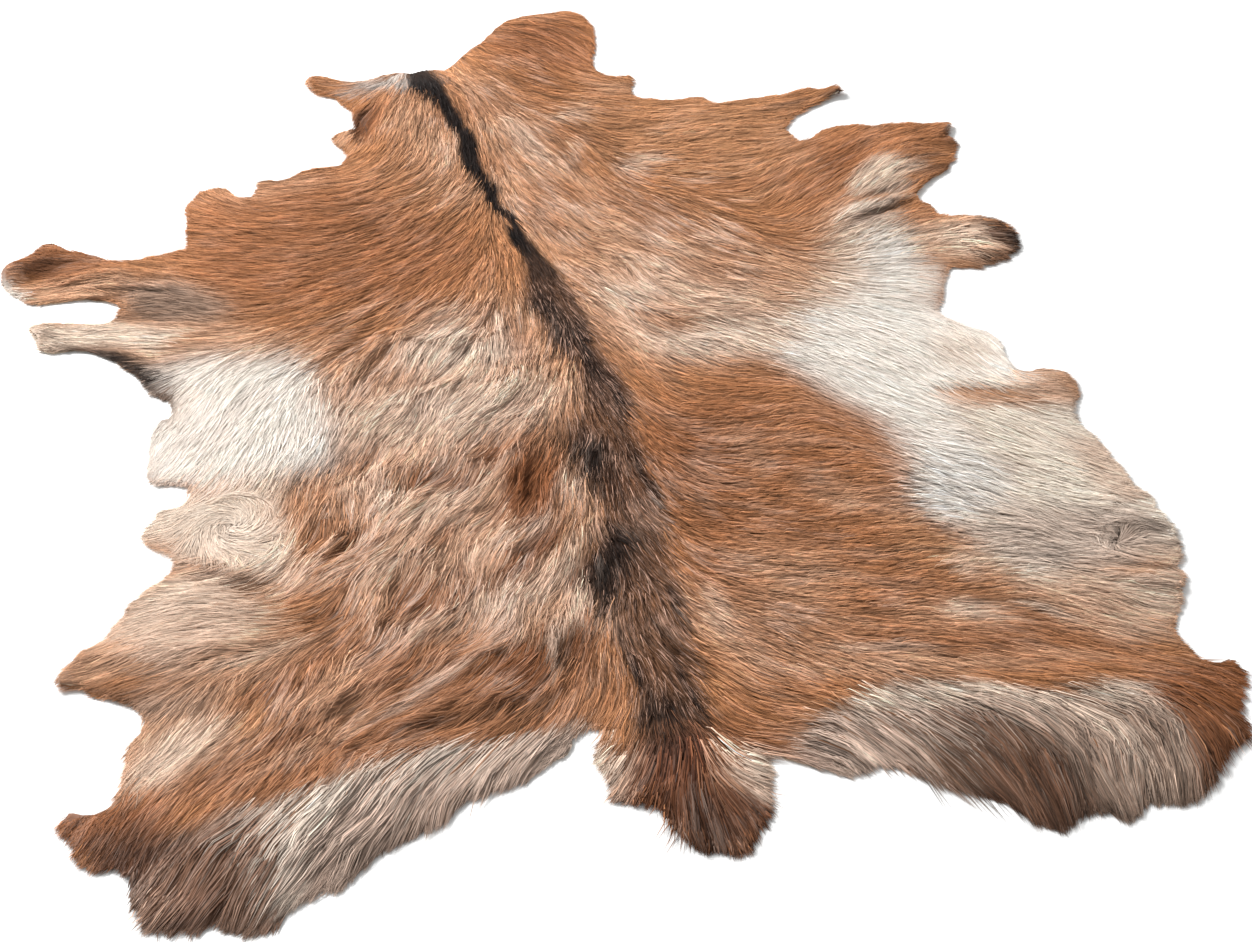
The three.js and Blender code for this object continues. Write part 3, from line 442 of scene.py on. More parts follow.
# left stifle and belly; umber at -346 -171 and at -430 -262 is painted shade in creases
# pale glints and mottles of the fore part; painted shade in the crease at 338 0 and in the neck's hollow at -130 512
# right belly, whorl and raw rim; ginger at 345 -72 is painted shade in a crease
# right foreleg; umber at 346 262 and taupe at 322 222 are painted shade in creases
# tufts of the left rear, with blush as painted sheen and umber at -190 -378 as painted shade in a crease
toneSpots = toneRows("""
# tone, strength, then mm: middle, half sizes, turn
# pale glints and mottles of the fore part
blush 0.5 60 470 30 10 40; 0.6 122 372 26 12 0; 0.45 60 400 40 8 60; 1 136 62 60 28 0; 1 -110 100 50 30 0;
0.5 -120 20 90 24 0; ginger 0.6 90 110 30 16 -40; 0.6 40 330 14 30 0; 0.6 -84 140 12 34 -10; 0.7 -180 140 40 12 30;
0.5 -70 60 20 10 0; chestnut 0.5 310 330 46 18 35; 0.35 200 310 60 14 0; fawn 0.5 280 330 10 30 0;
chestnut 0.42 80 622 70 60 0; sand 0.5 130 520 24 14 0; 0.7 -150 480 24 10 10; chestnut 0.9 -130 512 16 30 -20;
umber 0.7 -136 508 9 20 -20; blush 0.4 10 300 40 8 60; 0.5 20 430 12 50 10; 0.4 110 230 40 8 -45;
0.4 60 150 40 9 -50; umber 0.5 436 350 14 20 0; 0.4 408 318 12 8 30; sand 0.5 -240 410 60 18 0;
chestnut 0.45 8 300 22 40 0; 0.4 -56 100 14 36 0; straw 0.5 338 0 28 34 0; 0.5 -376 82 18 30 0;
# tufts of the left rear
chestnut 0.9 -78 -105 54 25 74; 0.7 -100 -56 34 12 24; 0.7 -110 -200 34 12 40; 0.7 -160 -232 30 10 36;
rust 0.6 -190 -66 44 9 24; chestnut 0.45 -170 -160 40 8 34; rust 0.6 -205 -232 44 9 36;
umber 0.6 -116 -312 36 18 40; soot 0.9 -90 -325 9 9 0; rust 0.6 -250 -180 46 10 40; 0.5 -240 -120 40 8 36;
blush 0.6 -150 -110 54 12 40; 0.5 -130 -245 56 16 30; 0.6 -70 -235 12 44 -10; 0.5 -180 -90 54 8 26;
0.5 -90 -170 10 28 -20; 0.4 -210 -262 44 8 30; 0.35 -150 -190 40 8 34; umber 0.35 -190 -378 100 7 8;
chestnut 0.4 -300 -350 60 9 34; 0.35 -240 -316 46 10 40; sand 0.75 -285 -328 42 26 30; 0.6 -320 -385 60 7 28;
blush 0.5 -220 -340 40 7 34; umber 0.5 -130 -345 30 7 30; sand 0.5 -280 -372 50 6 34; 0.85 -424 -345 44 40 10;
0.6 -385 -300 46 18 10; straw 0.75 -412 -362 50 22 35; taupe 0.6 -415 -306 34 13 -8; sand 0.75 -352 -276 60 16 12;
straw 0.4 -350 -268 44 7 12; chestnut 0.4 -345 -318 40 9 20; 0.35 -400 -395 40 12 10; 0.9 -82 -104 46 24 74;
0.6 -112 -206 30 11 40; umber 0.5 -112 -314 30 16 40;
# left stifle and belly
0.7 -346 -171 42 6 -36; 0.8 -470 -242 8 4 0; 0.6 -455 -284 30 5 -40; ginger 0.45 -345 -50 26 4 -20;
umber 0.6 -503 -262 12 5 0; 0.5 -430 -262 40 4 -20;
# right rump and thigh
chestnut 0.4 52 -95 54 50 0; sand 0.6 162 -170 20 34 20; 0.4 210 -195 22 24 0; 0.65 36 -330 22 50 10;
blush 0.4 34 -300 12 30 0; straw 0.7 240 -348 30 5 -30; sand 0.7 140 -392 50 12 -10; 0.65 200 -404 70 11 -12;
straw 0.6 235 -340 26 12 -10; sand 0.5 100 -265 50 40 -20; 0.45 215 -345 50 20 -20; umber 0.35 255 -395 50 6 -16;
straw 0.4 150 -372 40 7 -14; umber 0.3 180 -378 30 5 -14; sand 0.5 300 -415 40 8 -14; straw 0.6 290 -352 26 4 -40;
sand 0.4 110 -100 14 40 10; straw 0.5 246 -290 10 18 20;
# right belly, whorl and raw rim
ginger 0.7 345 -72 46 6 -10; taupe 0.35 385 -288 20 8 40; smoke 0.6 418 -273 11 9 0; 0.6 415 -112 6 36 10;
fawn 0.6 420 -70 14 22 0; smoke 0.6 425 -300 10 5 0; taupe 0.3 310 -150 6 40 10; 0.5 400 -340 30 4 -10;
fawn 0.6 388 -325 30 8 15; taupe 0.4 410 -235 20 4 20;
# right foreleg
straw 0.7 396 172 30 30 0; umber 0.85 434 164 14 38 8; soot 0.9 440 166 9 34 8; umber 0.7 420 136 20 10 0;
0.5 395 128 18 5 0; 0.5 346 262 26 3 15; taupe 0.6 322 222 30 4 30; cream 0.6 330 240 34 6 20;
umber 0.7 413 297 22 7 20; soot 0.9 350 450 14 8 0; smoke 0.5 300 448 40 5 18;
# left foreleg
umber 0.7 -470 324 26 12 20; 0.6 -465 368 12 9 0; smoke 0.5 -398 226 22 6 -10; soot 1 -428 168 42 9 -28;
1 -394 132 34 11 -62; smoke 0.9 -380 84 10 30 0; milk 0.8 -504 290 10 18 40; umber 0.6 -425 262 24 5 0;
0.5 -510 312 6 20 0;
# bare skin at the neck
bareSkin 0.9 -90 578 42 14 -8; 0.7 -135 562 20 6 -30;
# tail
auburn 0.85 -20 -490 70 62 0; umber 0.7 -52 -462 30 20 0; auburn 0.9 -45 -456 44 20 0; rust 0.6 0 -455 22 12 -20;
0.5 -76 -455 14 10 0; soot 0.6 -44 -450 12 7 20; straw 0.9 14 -474 26 16 -10; 0.85 -94 -450 16 28 10;
umber 0.9 -26 -524 44 40 0; straw 0.5 16 -500 16 12 -30; soot 0.6 -34 -528 14 26 0; rust 0.6 -14 -478 18 10 0;
ash 0.6 -100 -490 16 10 0; umber 0.6 -70 -480 14 14 0; 0.5 -80 -468 18 16 0;
# breeches
smoke 0.45 322 -532 22 44 -10; umber 0.5 -452 -482 40 28 10; 0.4 -400 -520 40 20 20
""")
# dark line of the back: mm along the middle, its width there and how dark it is
backStripe = rows("""
-66 594 20 0.9, -62 566 40 1, -52 535 20 1, -44 500 18 1, -42 460 19 1, -40 420 20 1, -35 370 19 1, -31 330 18 1,
-26 295 14 1, -22 260 17 1, -14 225 28 0.95, -10 190 38 0.95, -10 150 44 0.85, -6 110 52 0.8, 0 70 46 0.85,
5 40 38 0.9, 8 0 40 0.95, -4 -40 54 0.75, -10 -80 62 0.85, -10 -120 60 0.8, -8 -160 50 0.7, -18 -200 58 0.8,
-26 -240 76 0.8, -24 -280 72 0.7, -24 -320 62 0.76, -28 -370 58 0.78, -38 -420 62 0.8, -45 -445 50 0.6
""")
# near-black places within the stripe, mm: middle, half sizes, turn
stripeSpots = rows("""
-60 568 16 24 0, -18 150 12 22 0, -12 105 15 30 0, 6 95 7 30 0, 4 50 8 26 0, 14 0 4 40 -5, -28 -78 20 44 5,
17 -130 5 50 3, -26 -196 14 18 0, -38 -220 24 17 40, -51 -252 13 30 0, 0 -285 4 26 0, -48 -355 4 36 0,
-17 -380 3 40 8, -40 -404 20 16 0
""")
# relief: how much lighter the crests and darker the hollows are painted; spots: black in the stripe's spots
reliefShadeAndSpots = {"pale": 0.55, "dark": 0.85, "relief": 0.14, "spots": 0.85}  # shares of painted highlight on crests and of painted shade in hollows
# how strongly the lumps of the coat show in its colour, as painted highlight on crests and painted shade in hollows
paintedRelief = painted(0.1, """
-150 -190 150 180 0 0.95, -130 80 130 120 0 0.34, 100 170 110 150 0 0.4, 130 -200 130 170 0 0.25,
10 450 100 130 0 0.45, -280 -350 120 60 0 0.1, -110 100 50 36 0 0, 140 70 60 34 0 0, -82 -104 46 24 74 0""")


def stripeShare():  # how dark the back's line makes each point
    nearest = np.full(gridX.shape, np.inf)
    strength = np.zeros(gridX.shape)
    for (ax, ay, aw, aDark), (bx, by, bw, bDark) in zip(backStripe, backStripe[1:]):
        dx, dy = bx - ax, by - ay
        t = np.clip(((gridX - ax) * dx + (gridY - ay) * dy) / (dx * dx + dy * dy), 0, 1)
        far = np.hypot(gridX + 0.75 * warpX - ax - t * dx, gridY - ay - t * dy) / (0.5 * (aw + (bw - aw) * t))
        strength = np.where(far < nearest, aDark + (bDark - aDark) * t, strength)
        nearest = np.minimum(far, nearest)
    return (1 - smooth(nearest, 0.6, 1.25)) * strength


def colourMap():
    tones = {name: np.array(linear(code)) for name, code in hairTones.items()}
    colour = np.zeros((*gridX.shape, 3)) + tones["ginger"]

    def lay(tone, share):
        colour[:] += (tone - colour) * share[..., None]

    for tone, strength, feather, outline in toneAreas:
        lay(tones[tone], strength * area(outline, feather))
    for tone, strength, x, y, long, wide, turn in toneSpots:
        lay(tones[tone], strength * spot(x, y, long, wide, turn, 0.6, 0.7))
    # painted light of the lumps: blush as painted highlight on crests, chestnut as painted shade in hollows, then the
    # colour lighter on crests and darker in hollows
    lay(tones["blush"], reliefShadeAndSpots["pale"] * paintedRelief * smooth(crests, 0.2, 0.9))
    lay(tones["chestnut"], reliefShadeAndSpots["dark"] * paintedRelief * smooth(-crests, 0.0, 0.8))
    colour *= (1 + reliefShadeAndSpots["relief"] * paintedRelief * np.clip(crests, -1.2, 0.8))[..., None]
    dark = stripeShare()
    behind = (1 - smooth(gridY, 120, 260))[..., None]  # the line is browner behind the shoulders
    lay(tones["soot"] + (tones["bistre"] - tones["soot"]) * behind, dark)
    for x, y, long, wide, turn in stripeSpots:
        lay(tones["soot"], spot(x, y, long, wide, turn, 0.6, 0.6) * reliefShadeAndSpots["spots"])
    return colour, dark


coatColour, stripe = colourMap()
# share of single dark hairs
flecks = painted(0.02, """
130 -190 150 190 0 0.12, -30 -250 50 220 0 0.12, 220 -500 150 70 -8 0.08""")
print("coat coloured on the plan")


streaks = {"step": 2.2, "steps": 6, "past": 12}  # mm a step along the lie each way, and mm past the hide


def streakMaps(sizes):  # noise drawn out along the lie of the hair, one map for each width in mm
    fineX, fineY = np.meshgrid(*[np.linspace(line[0], line[-1], 2 * len(line) - 1) for line in (xs, ys)])
    near = at(beyond, fineX.ravel(), fineY.ravel()) < streaks["past"]
    startX, startY = fineX.ravel()[near], fineY.ravel()[near]
    random = np.random.default_rng(5)
    grains = [random.normal(0, 1, fineX.shape) for _ in sizes]
    for k, size in enumerate(sizes):
        if size > 1:
            grains[k] = blurred(grains[k], 0.5 * size)  # fine maps have half the pitch
            grains[k] /= grains[k].std()
    totals = [at(g, startX, startY) for g in grains]
    for step in (-streaks["step"], streaks["step"]):
        x, y = startX, startY
        for _ in range(streaks["steps"]):
            lay = at(comb, x, y)
            x, y = x + step * lay[:, 0], y + step * lay[:, 1]
            for k, g in enumerate(grains):
                totals[k] += at(g, x, y)
    maps = []
    for total in totals:
        field = np.zeros(fineX.size)
        field[near] = total / total.std()
        maps.append(field.reshape(fineX.shape))
    return maps


fineStreaks, broadStreaks = streakMaps([1.0, 5.0])
# how far the hair gathers in tufts
tufts = painted(0.2, """
-150 -190 150 180 0 1, -120 80 120 120 0 0.7, 100 170 100 130 0 0.5, 300 0 95 150 0 0.5, -330 45 90 95 0 0.4,
-30 -250 60 190 0 0.8, 220 -500 150 80 -8 0.9, -320 -470 190 60 17 0.9, 130 -200 130 170 0 0.25,
375 -200 70 120 0 0.5""")
# how much of the hair shows painted glints: pale streaks that stand for highlights on the hair
glints = painted(0.15, """
20 400 60 170 0 0.55, 110 200 110 140 0 0.6, -120 60 120 120 0 0.6, -170 -170 130 130 0 0.8, -250 -350 140 60 0 0.5,
130 -200 110 150 0 0.25, -20 -150 50 280 0 0.5, 60 -340 60 60 0 0.4, -80 430 40 110 0 0.45, 130 370 90 60 0 0.45,
-82 -104 46 24 74 0.1, -112 -314 34 18 40 0.2""")
# how strongly single hairs differ in tone
streakDepth = painted(1.15, """
-150 -200 150 190 0 0.95, 220 -500 150 80 -8 1.5, -320 -470 190 60 17 0.9, 290 0 100 160 -20 0.28,
-330 45 90 95 0 0.18, -30 -150 40 300 0 1.5, 370 -180 80 160 0 0.55, -350 -98 60 50 0 0.34, -400 -220 80 45 30 0.5,
-420 -340 50 50 0 0.8""")
print("streaks drawn along the lie")


# skin: a thin sheet on the solid's folds, its rim cut raggedly
def meshOf(name, points, faces):
    mesh = bpy.data.meshes.new(name)
    mesh.from_pydata(points, [], faces)
    return placed(name, mesh)


def addValues(mesh, name, values, kind="FLOAT", domain="POINT"):
    layer = mesh.attributes.new(name, kind, domain)
    key = {"FLOAT_COLOR": "color", "FLOAT_VECTOR": "vector"}.get(kind, "value")
    layer.data.foreach_set(key, np.array(values, np.int32 if kind == "INT" else np.float32).ravel())


def valuesOf(data, key, total, kind=np.float32):
    values = np.zeros(total, kind)
    data.foreach_get(key, values)
    return values


def sidesOf(tris):
    return np.concatenate([tris[:, [0, 1]], tris[:, [1, 2]], tris[:, [2, 0]]])


def cutSheet():  # an even triangle mesh over the plan, cut along the hide's rim
    step, rise = skin["step"], skin["step"] * 0.866  # rows of even triangles
    edge = blurred(body.astype(float), 2.6) - 0.5
    slope = 0.16  # that the blurred mask loses for each mm outwards
    snap = 0.34  # share of a triangle's side within which a point moves onto the rim
    edge += slope * skin["ragged"] * (0.6 * wave(gridX, gridY, 9, 9) + 0.4 * wave(gridX, gridY, 4.5, 10))
    columns = int((xs[-1] - xs[0]) / step)
    i, j = np.meshgrid(np.arange(columns), np.arange(int((ys[-1] - ys[0]) / rise)))
    px = (xs[0] + step * (i + 0.5 * (j % 2))).ravel()
    py = (ys[0] + rise * j).ravel()
    value = at(edge, px, py)
    number = j * columns + i
    odd = (j % 2 == 1)[:-1, :-1]
    a, b, c, d = number[:-1, :-1], number[:-1, 1:], number[1:, :-1], number[1:, 1:]
    tris = np.concatenate([
        np.stack([a, b, d], -1)[odd], np.stack([a, d, c], -1)[odd],
        np.stack([a, b, c], -1)[~odd], np.stack([b, d, c], -1)[~odd]])
    value[np.abs(value) < 1e-6] = 1e-6
    points = np.stack([px, py], 1)
    state = np.where(value > 0, 1, -1)
    tris = tris[(state[tris] > 0).any(1)]
    # points that are close to the rim move onto it, so that no sliver is left
    pairs = sidesOf(tris)
    pairs = np.unique(np.sort(pairs[state[pairs[:, 0]] != state[pairs[:, 1]]], 1), axis=0)
    t = value[pairs[:, 0]] / (value[pairs[:, 0]] - value[pairs[:, 1]])
    best = {}
    for (p, q), s in zip(pairs.tolist(), t.tolist()):
        near, far, s = (p, q, s) if s < 0.5 else (q, p, 1 - s)
        if s < snap and s < best.get(near, (1,))[0]:
            best[near] = (s, far)
    moved = {p: points[p] + (points[q] - points[p]) * s for p, (s, q) in best.items()}
    for p, place in moved.items():
        points[p] = place
        state[p] = 0
    points = points.tolist()
    cuts, faces = {}, []
    for tri in tris.tolist():
        shape = []
        for p, q in zip(tri, tri[1:] + tri[:1]):
            if state[p] >= 0:
                shape.append(p)
            if state[p] * state[q] < 0:
                key = (min(p, q), max(p, q))
                if key not in cuts:
                    s = value[p] / (value[p] - value[q])
                    cuts[key] = len(points)
                    points.append([a + (b - a) * s for a, b in zip(points[p], points[q])])
                shape.append(cuts[key])
        if len(shape) < 3 or all(p < len(state) and state[p] <= 0 for p in shape):
            continue
        faces += [[shape[0], shape[k], shape[k + 1]] for k in range(1, len(shape) - 1)]
    used, faces = np.unique(faces, return_inverse=True)
    return np.array(points)[used], faces.reshape(-1, 3)


sheet, sheetFaces = cutSheet()
sheetTop, sheetUnder = at(skinTop, *sheet.T), at(skinUnder, *sheet.T)
count = len(sheet)
edges = sidesOf(sheetFaces)
keys = np.sort(edges, 1)
_, firsts, uses = np.unique(keys[:, 0] * count + keys[:, 1], return_index=True, return_counts=True)
a, b = edges[firsts[uses == 1]].T  # the rim
faces = np.concatenate([
    sheetFaces, sheetFaces[:, ::-1] + count,
    np.stack([a, a + count, b + count], 1), np.stack([a, b + count, b], 1)])
points = np.concatenate([np.column_stack([sheet, sheetTop]), np.column_stack([sheet, sheetUnder])]) * mm
hideSkin = meshOf("hide_skin", points.tolist(), faces.tolist())
hideSkin.data.polygons.foreach_set("use_smooth", np.ones(len(faces), bool))
corners = sheet[sheetFaces]

growth = meshOf("growth", (np.column_stack([sheet, sheetTop]) * mm).tolist(), sheetFaces.tolist())
middle = corners.mean(1)
backLine = np.interp(middle[:, 1], [p[1] for p in backStripe[::-1]], [p[0] for p in backStripe[::-1]])
band = np.digitize(middle[:, 1], [-150, 170])
addValues(growth.data, "section", band * 2 + (middle[:, 0] > backLine), "INT", "FACE")
addValues(growth.data, "band", band, "INT", "FACE")

longZones = {  # where long hair roots, mm: middle, half sizes, turn, share
    "breechRight": "225 -478 150 34 -9 1, 120 -446 60 18 -10 1",
    "breechLeft": "-325 -455 170 24 17 1, -180 -418 60 14 20 1",
    "tailTuft": "-40 -470 50 40 0 1, -25 -510 40 34 0 1",
    "legTuft": "415 172 28 30 0 1",
}
longShare = {name: painted(0, zones) for name, zones in longZones.items()}
shortShare = 1 - 0.45 * np.clip(sum(longShare.values()), 0, 1)
for name, field in {**longShare, "short": shortShare}.items():
    addValues(growth.data, name, at(field, *sheet.T))


# hair: blades planted by a node tree, then combed, drawn into wisps and laid on the skin
def addNode(tree, kind, inputs=(), **settings):  # one node with its settings and links
    node = tree.nodes.new(kind)
    for key, value in settings.items():
        setattr(node, key, value)
    for key, value in dict(inputs).items():
        if isinstance(value, bpy.types.NodeSocket):
            tree.links.new(value, node.inputs[key])
        else:
            node.inputs[key].default_value = value
    return node


def plantingTree():
    tree = bpy.data.node_groups.new("plant hair", "GeometryNodeTree")
    for way in ("INPUT", "OUTPUT"):
        tree.interface.new_socket("Geometry", in_out=way, socket_type="NodeSocketGeometry")
    for name, kind, value in [
        ("Hairs a square metre", "Float", 400000.0), ("Share", "String", "short"), ("Parts", "String", "section"),
        ("Part", "Int", -1), ("Width", "Float", 0.0009), ("Length", "Float", 0.02), ("Bends", "Int", 2),
        ("Open root", "Bool", False), ("Seed", "Int", 1), ("Material", "Material", None),
    ]:
        socket = tree.interface.new_socket(name, in_out="INPUT", socket_type="NodeSocket" + kind)
        if value is not None:
            socket.default_value = value

    def add(kind, inputs=(), **settings):
        return addNode(tree, "GeometryNode" + kind, inputs, **settings).outputs

    def maths(operation, a, b):
        return addNode(tree, "ShaderNodeMath", {0: a, 1: b}, operation=operation).outputs[0]

    def stored(geometry, name, value, kind="FLOAT"):
        return add("StoreNamedAttribute", {"Geometry": geometry, "Name": name, "Value": value}, data_type=kind)[0]

    given = tree.nodes.new("NodeGroupInput").outputs
    # one blade: a strip pointed at both ends, its place across and along kept as values
    strip = add("MeshGrid", {"Size X": given["Width"], "Size Y": given["Length"], "Vertices X": 2,
                             "Vertices Y": maths("ADD", given["Bends"], 1.0)})["Mesh"]
    place = addNode(tree, "ShaderNodeSeparateXYZ", {"Vector": add("InputPosition")[0]}).outputs
    along = maths("ADD", maths("DIVIDE", place["Y"], given["Length"]), 0.5)
    across = maths("MULTIPLY", maths("DIVIDE", place["X"], given["Width"]), 2.0)
    marked = stored(stored(strip, "along", along), "across", across)
    notTip = maths("LESS_THAN", along, 0.99)
    notRoot = maths("GREATER_THAN", maths("ADD", along, given["Open root"]), 0.01)
    slim = addNode(tree, "ShaderNodeCombineXYZ", {
        "X": maths("MULTIPLY", place["X"], maths("MULTIPLY", notTip, notRoot)),
        "Y": maths("MULTIPLY", along, given["Length"])}).outputs[0]
    shaped = add("SetPosition", {"Geometry": marked, "Position": slim})[0]
    blade = add("MergeByDistance", {"Geometry": shaped, "Distance": 1e-5})[0]
    # roots scattered over one section of the skin
    number = add("InputNamedAttribute", {"Name": given["Parts"]}, data_type="INT")["Attribute"]
    same = addNode(tree, "FunctionNodeCompare", {2: number, 3: given["Part"]}, data_type="INT", operation="EQUAL")
    anyPart = addNode(tree, "FunctionNodeCompare", {2: given["Part"], 3: 0}, data_type="INT", operation="LESS_THAN")
    chosen = addNode(tree, "FunctionNodeBooleanMath", {0: same.outputs[0], 1: anyPart.outputs[0]}, operation="OR")
    share = add("InputNamedAttribute", {"Name": given["Share"]}, data_type="FLOAT")["Attribute"]
    spots = add("DistributePointsOnFaces", {
        "Mesh": given["Geometry"], "Selection": chosen.outputs[0], "Seed": given["Seed"],
        "Density": maths("MULTIPLY", share, given["Hairs a square metre"])})["Points"]
    rooted = stored(spots, "root", add("InputPosition")[0], "FLOAT_VECTOR")
    hairs = add("InstanceOnPoints", {"Points": rooted, "Instance": blade})[0]
    real = add("RealizeInstances", {"Geometry": hairs})[0]
    finished = add("SetMaterial", {"Geometry": real, "Material": given["Material"]})[0]
    addNode(tree, "NodeGroupOutput", {0: finished})
    return tree


def planted(name, tree, values):  # the tree's result as a plain mesh
    piece = growth.copy()
    piece.data = growth.data.copy()
    piece.name = name
    scene.collection.objects.link(piece)
    modifier = piece.modifiers.new("hair", "NODES")
    modifier.node_group = tree
    sockets = {s.name: s.identifier for s in tree.interface.items_tree if s.in_out == "INPUT"}
    for key, value in values.items():
        modifier[sockets[key]] = value
    done = bpy.data.meshes.new_from_object(piece.evaluated_get(bpy.context.evaluated_depsgraph_get()))
    piece.modifiers.clear()
    old, piece.data = piece.data, done
    bpy.data.meshes.remove(old)
    done.name = name
    return piece


def clumpOf(x, y, cell, lot):  # the nearest wisp's middle, and two chances of its own
    best = np.full(len(x), np.inf)
    cx, cy, p, q = (np.zeros(len(x)) for _ in range(4))
    ci, cj = np.floor(x / cell).astype(int), np.floor(y / cell).astype(int)
    for di in (-1, 0, 1):
        for dj in (-1, 0, 1):
            i, j = (ci + di + 91 * lot) % 512, (cj + dj + 57 * lot) % 512
            ox = (ci + di + chances[j, i]) * cell
            oy = (cj + dj + chances[i, j]) * cell
            d = (x - ox) ** 2 + (y - oy) ** 2
            near = d < best
            best = np.where(near, d, best)
            cx, cy = np.where(near, ox, cx), np.where(near, oy, cy)
            p = np.where(near, chances[(j + 7) % 512, i], p)
            q = np.where(near, chances[j, (i + 11) % 512], q)
    return cx, cy, p, q


def traced(x, y, reach, turn, steps):  # a hair's line through the comb, a point for each step
    line = [(x, y)]
    for before, after in zip(steps, steps[1:]):
        lay = at(comb, x, y)
        lay /= np.hypot(lay[:, 0], lay[:, 1])[:, None]
        way = np.arctan2(lay[:, 1], lay[:, 0]) + turn
        x, y = x + np.cos(way) * reach * (after - before), y + np.sin(way) * reach * (after - before)
        line.append((x, y))
    return np.array(line)  # steps, 2, hairs


floorGap = {"line": 0.35, "side": 0.15}  # mm that a hair's line and the sides of its blade keep off the floor
# hair at the rim strays more, and is shorter the sooner it comes past the rim: degrees, mm, shares of its length
rimHair = {"stray": 16, "zone": (4, 18), "tested": (0, 0.25, 0.4, 0.55, 0.7, 0.85, 1),
           "kept": (0.15, 0.2, 0.3, 0.45, 0.6, 0.75, 0.9)}
# pale hairs in the dark line: how many, how pale, where along the back, and none on the blackest hair behind
paleHairs = {"share": 0.18, "strength": 0.6, "reach": (-408, 190), "blackest": 0.035, "foreEnd": -40}


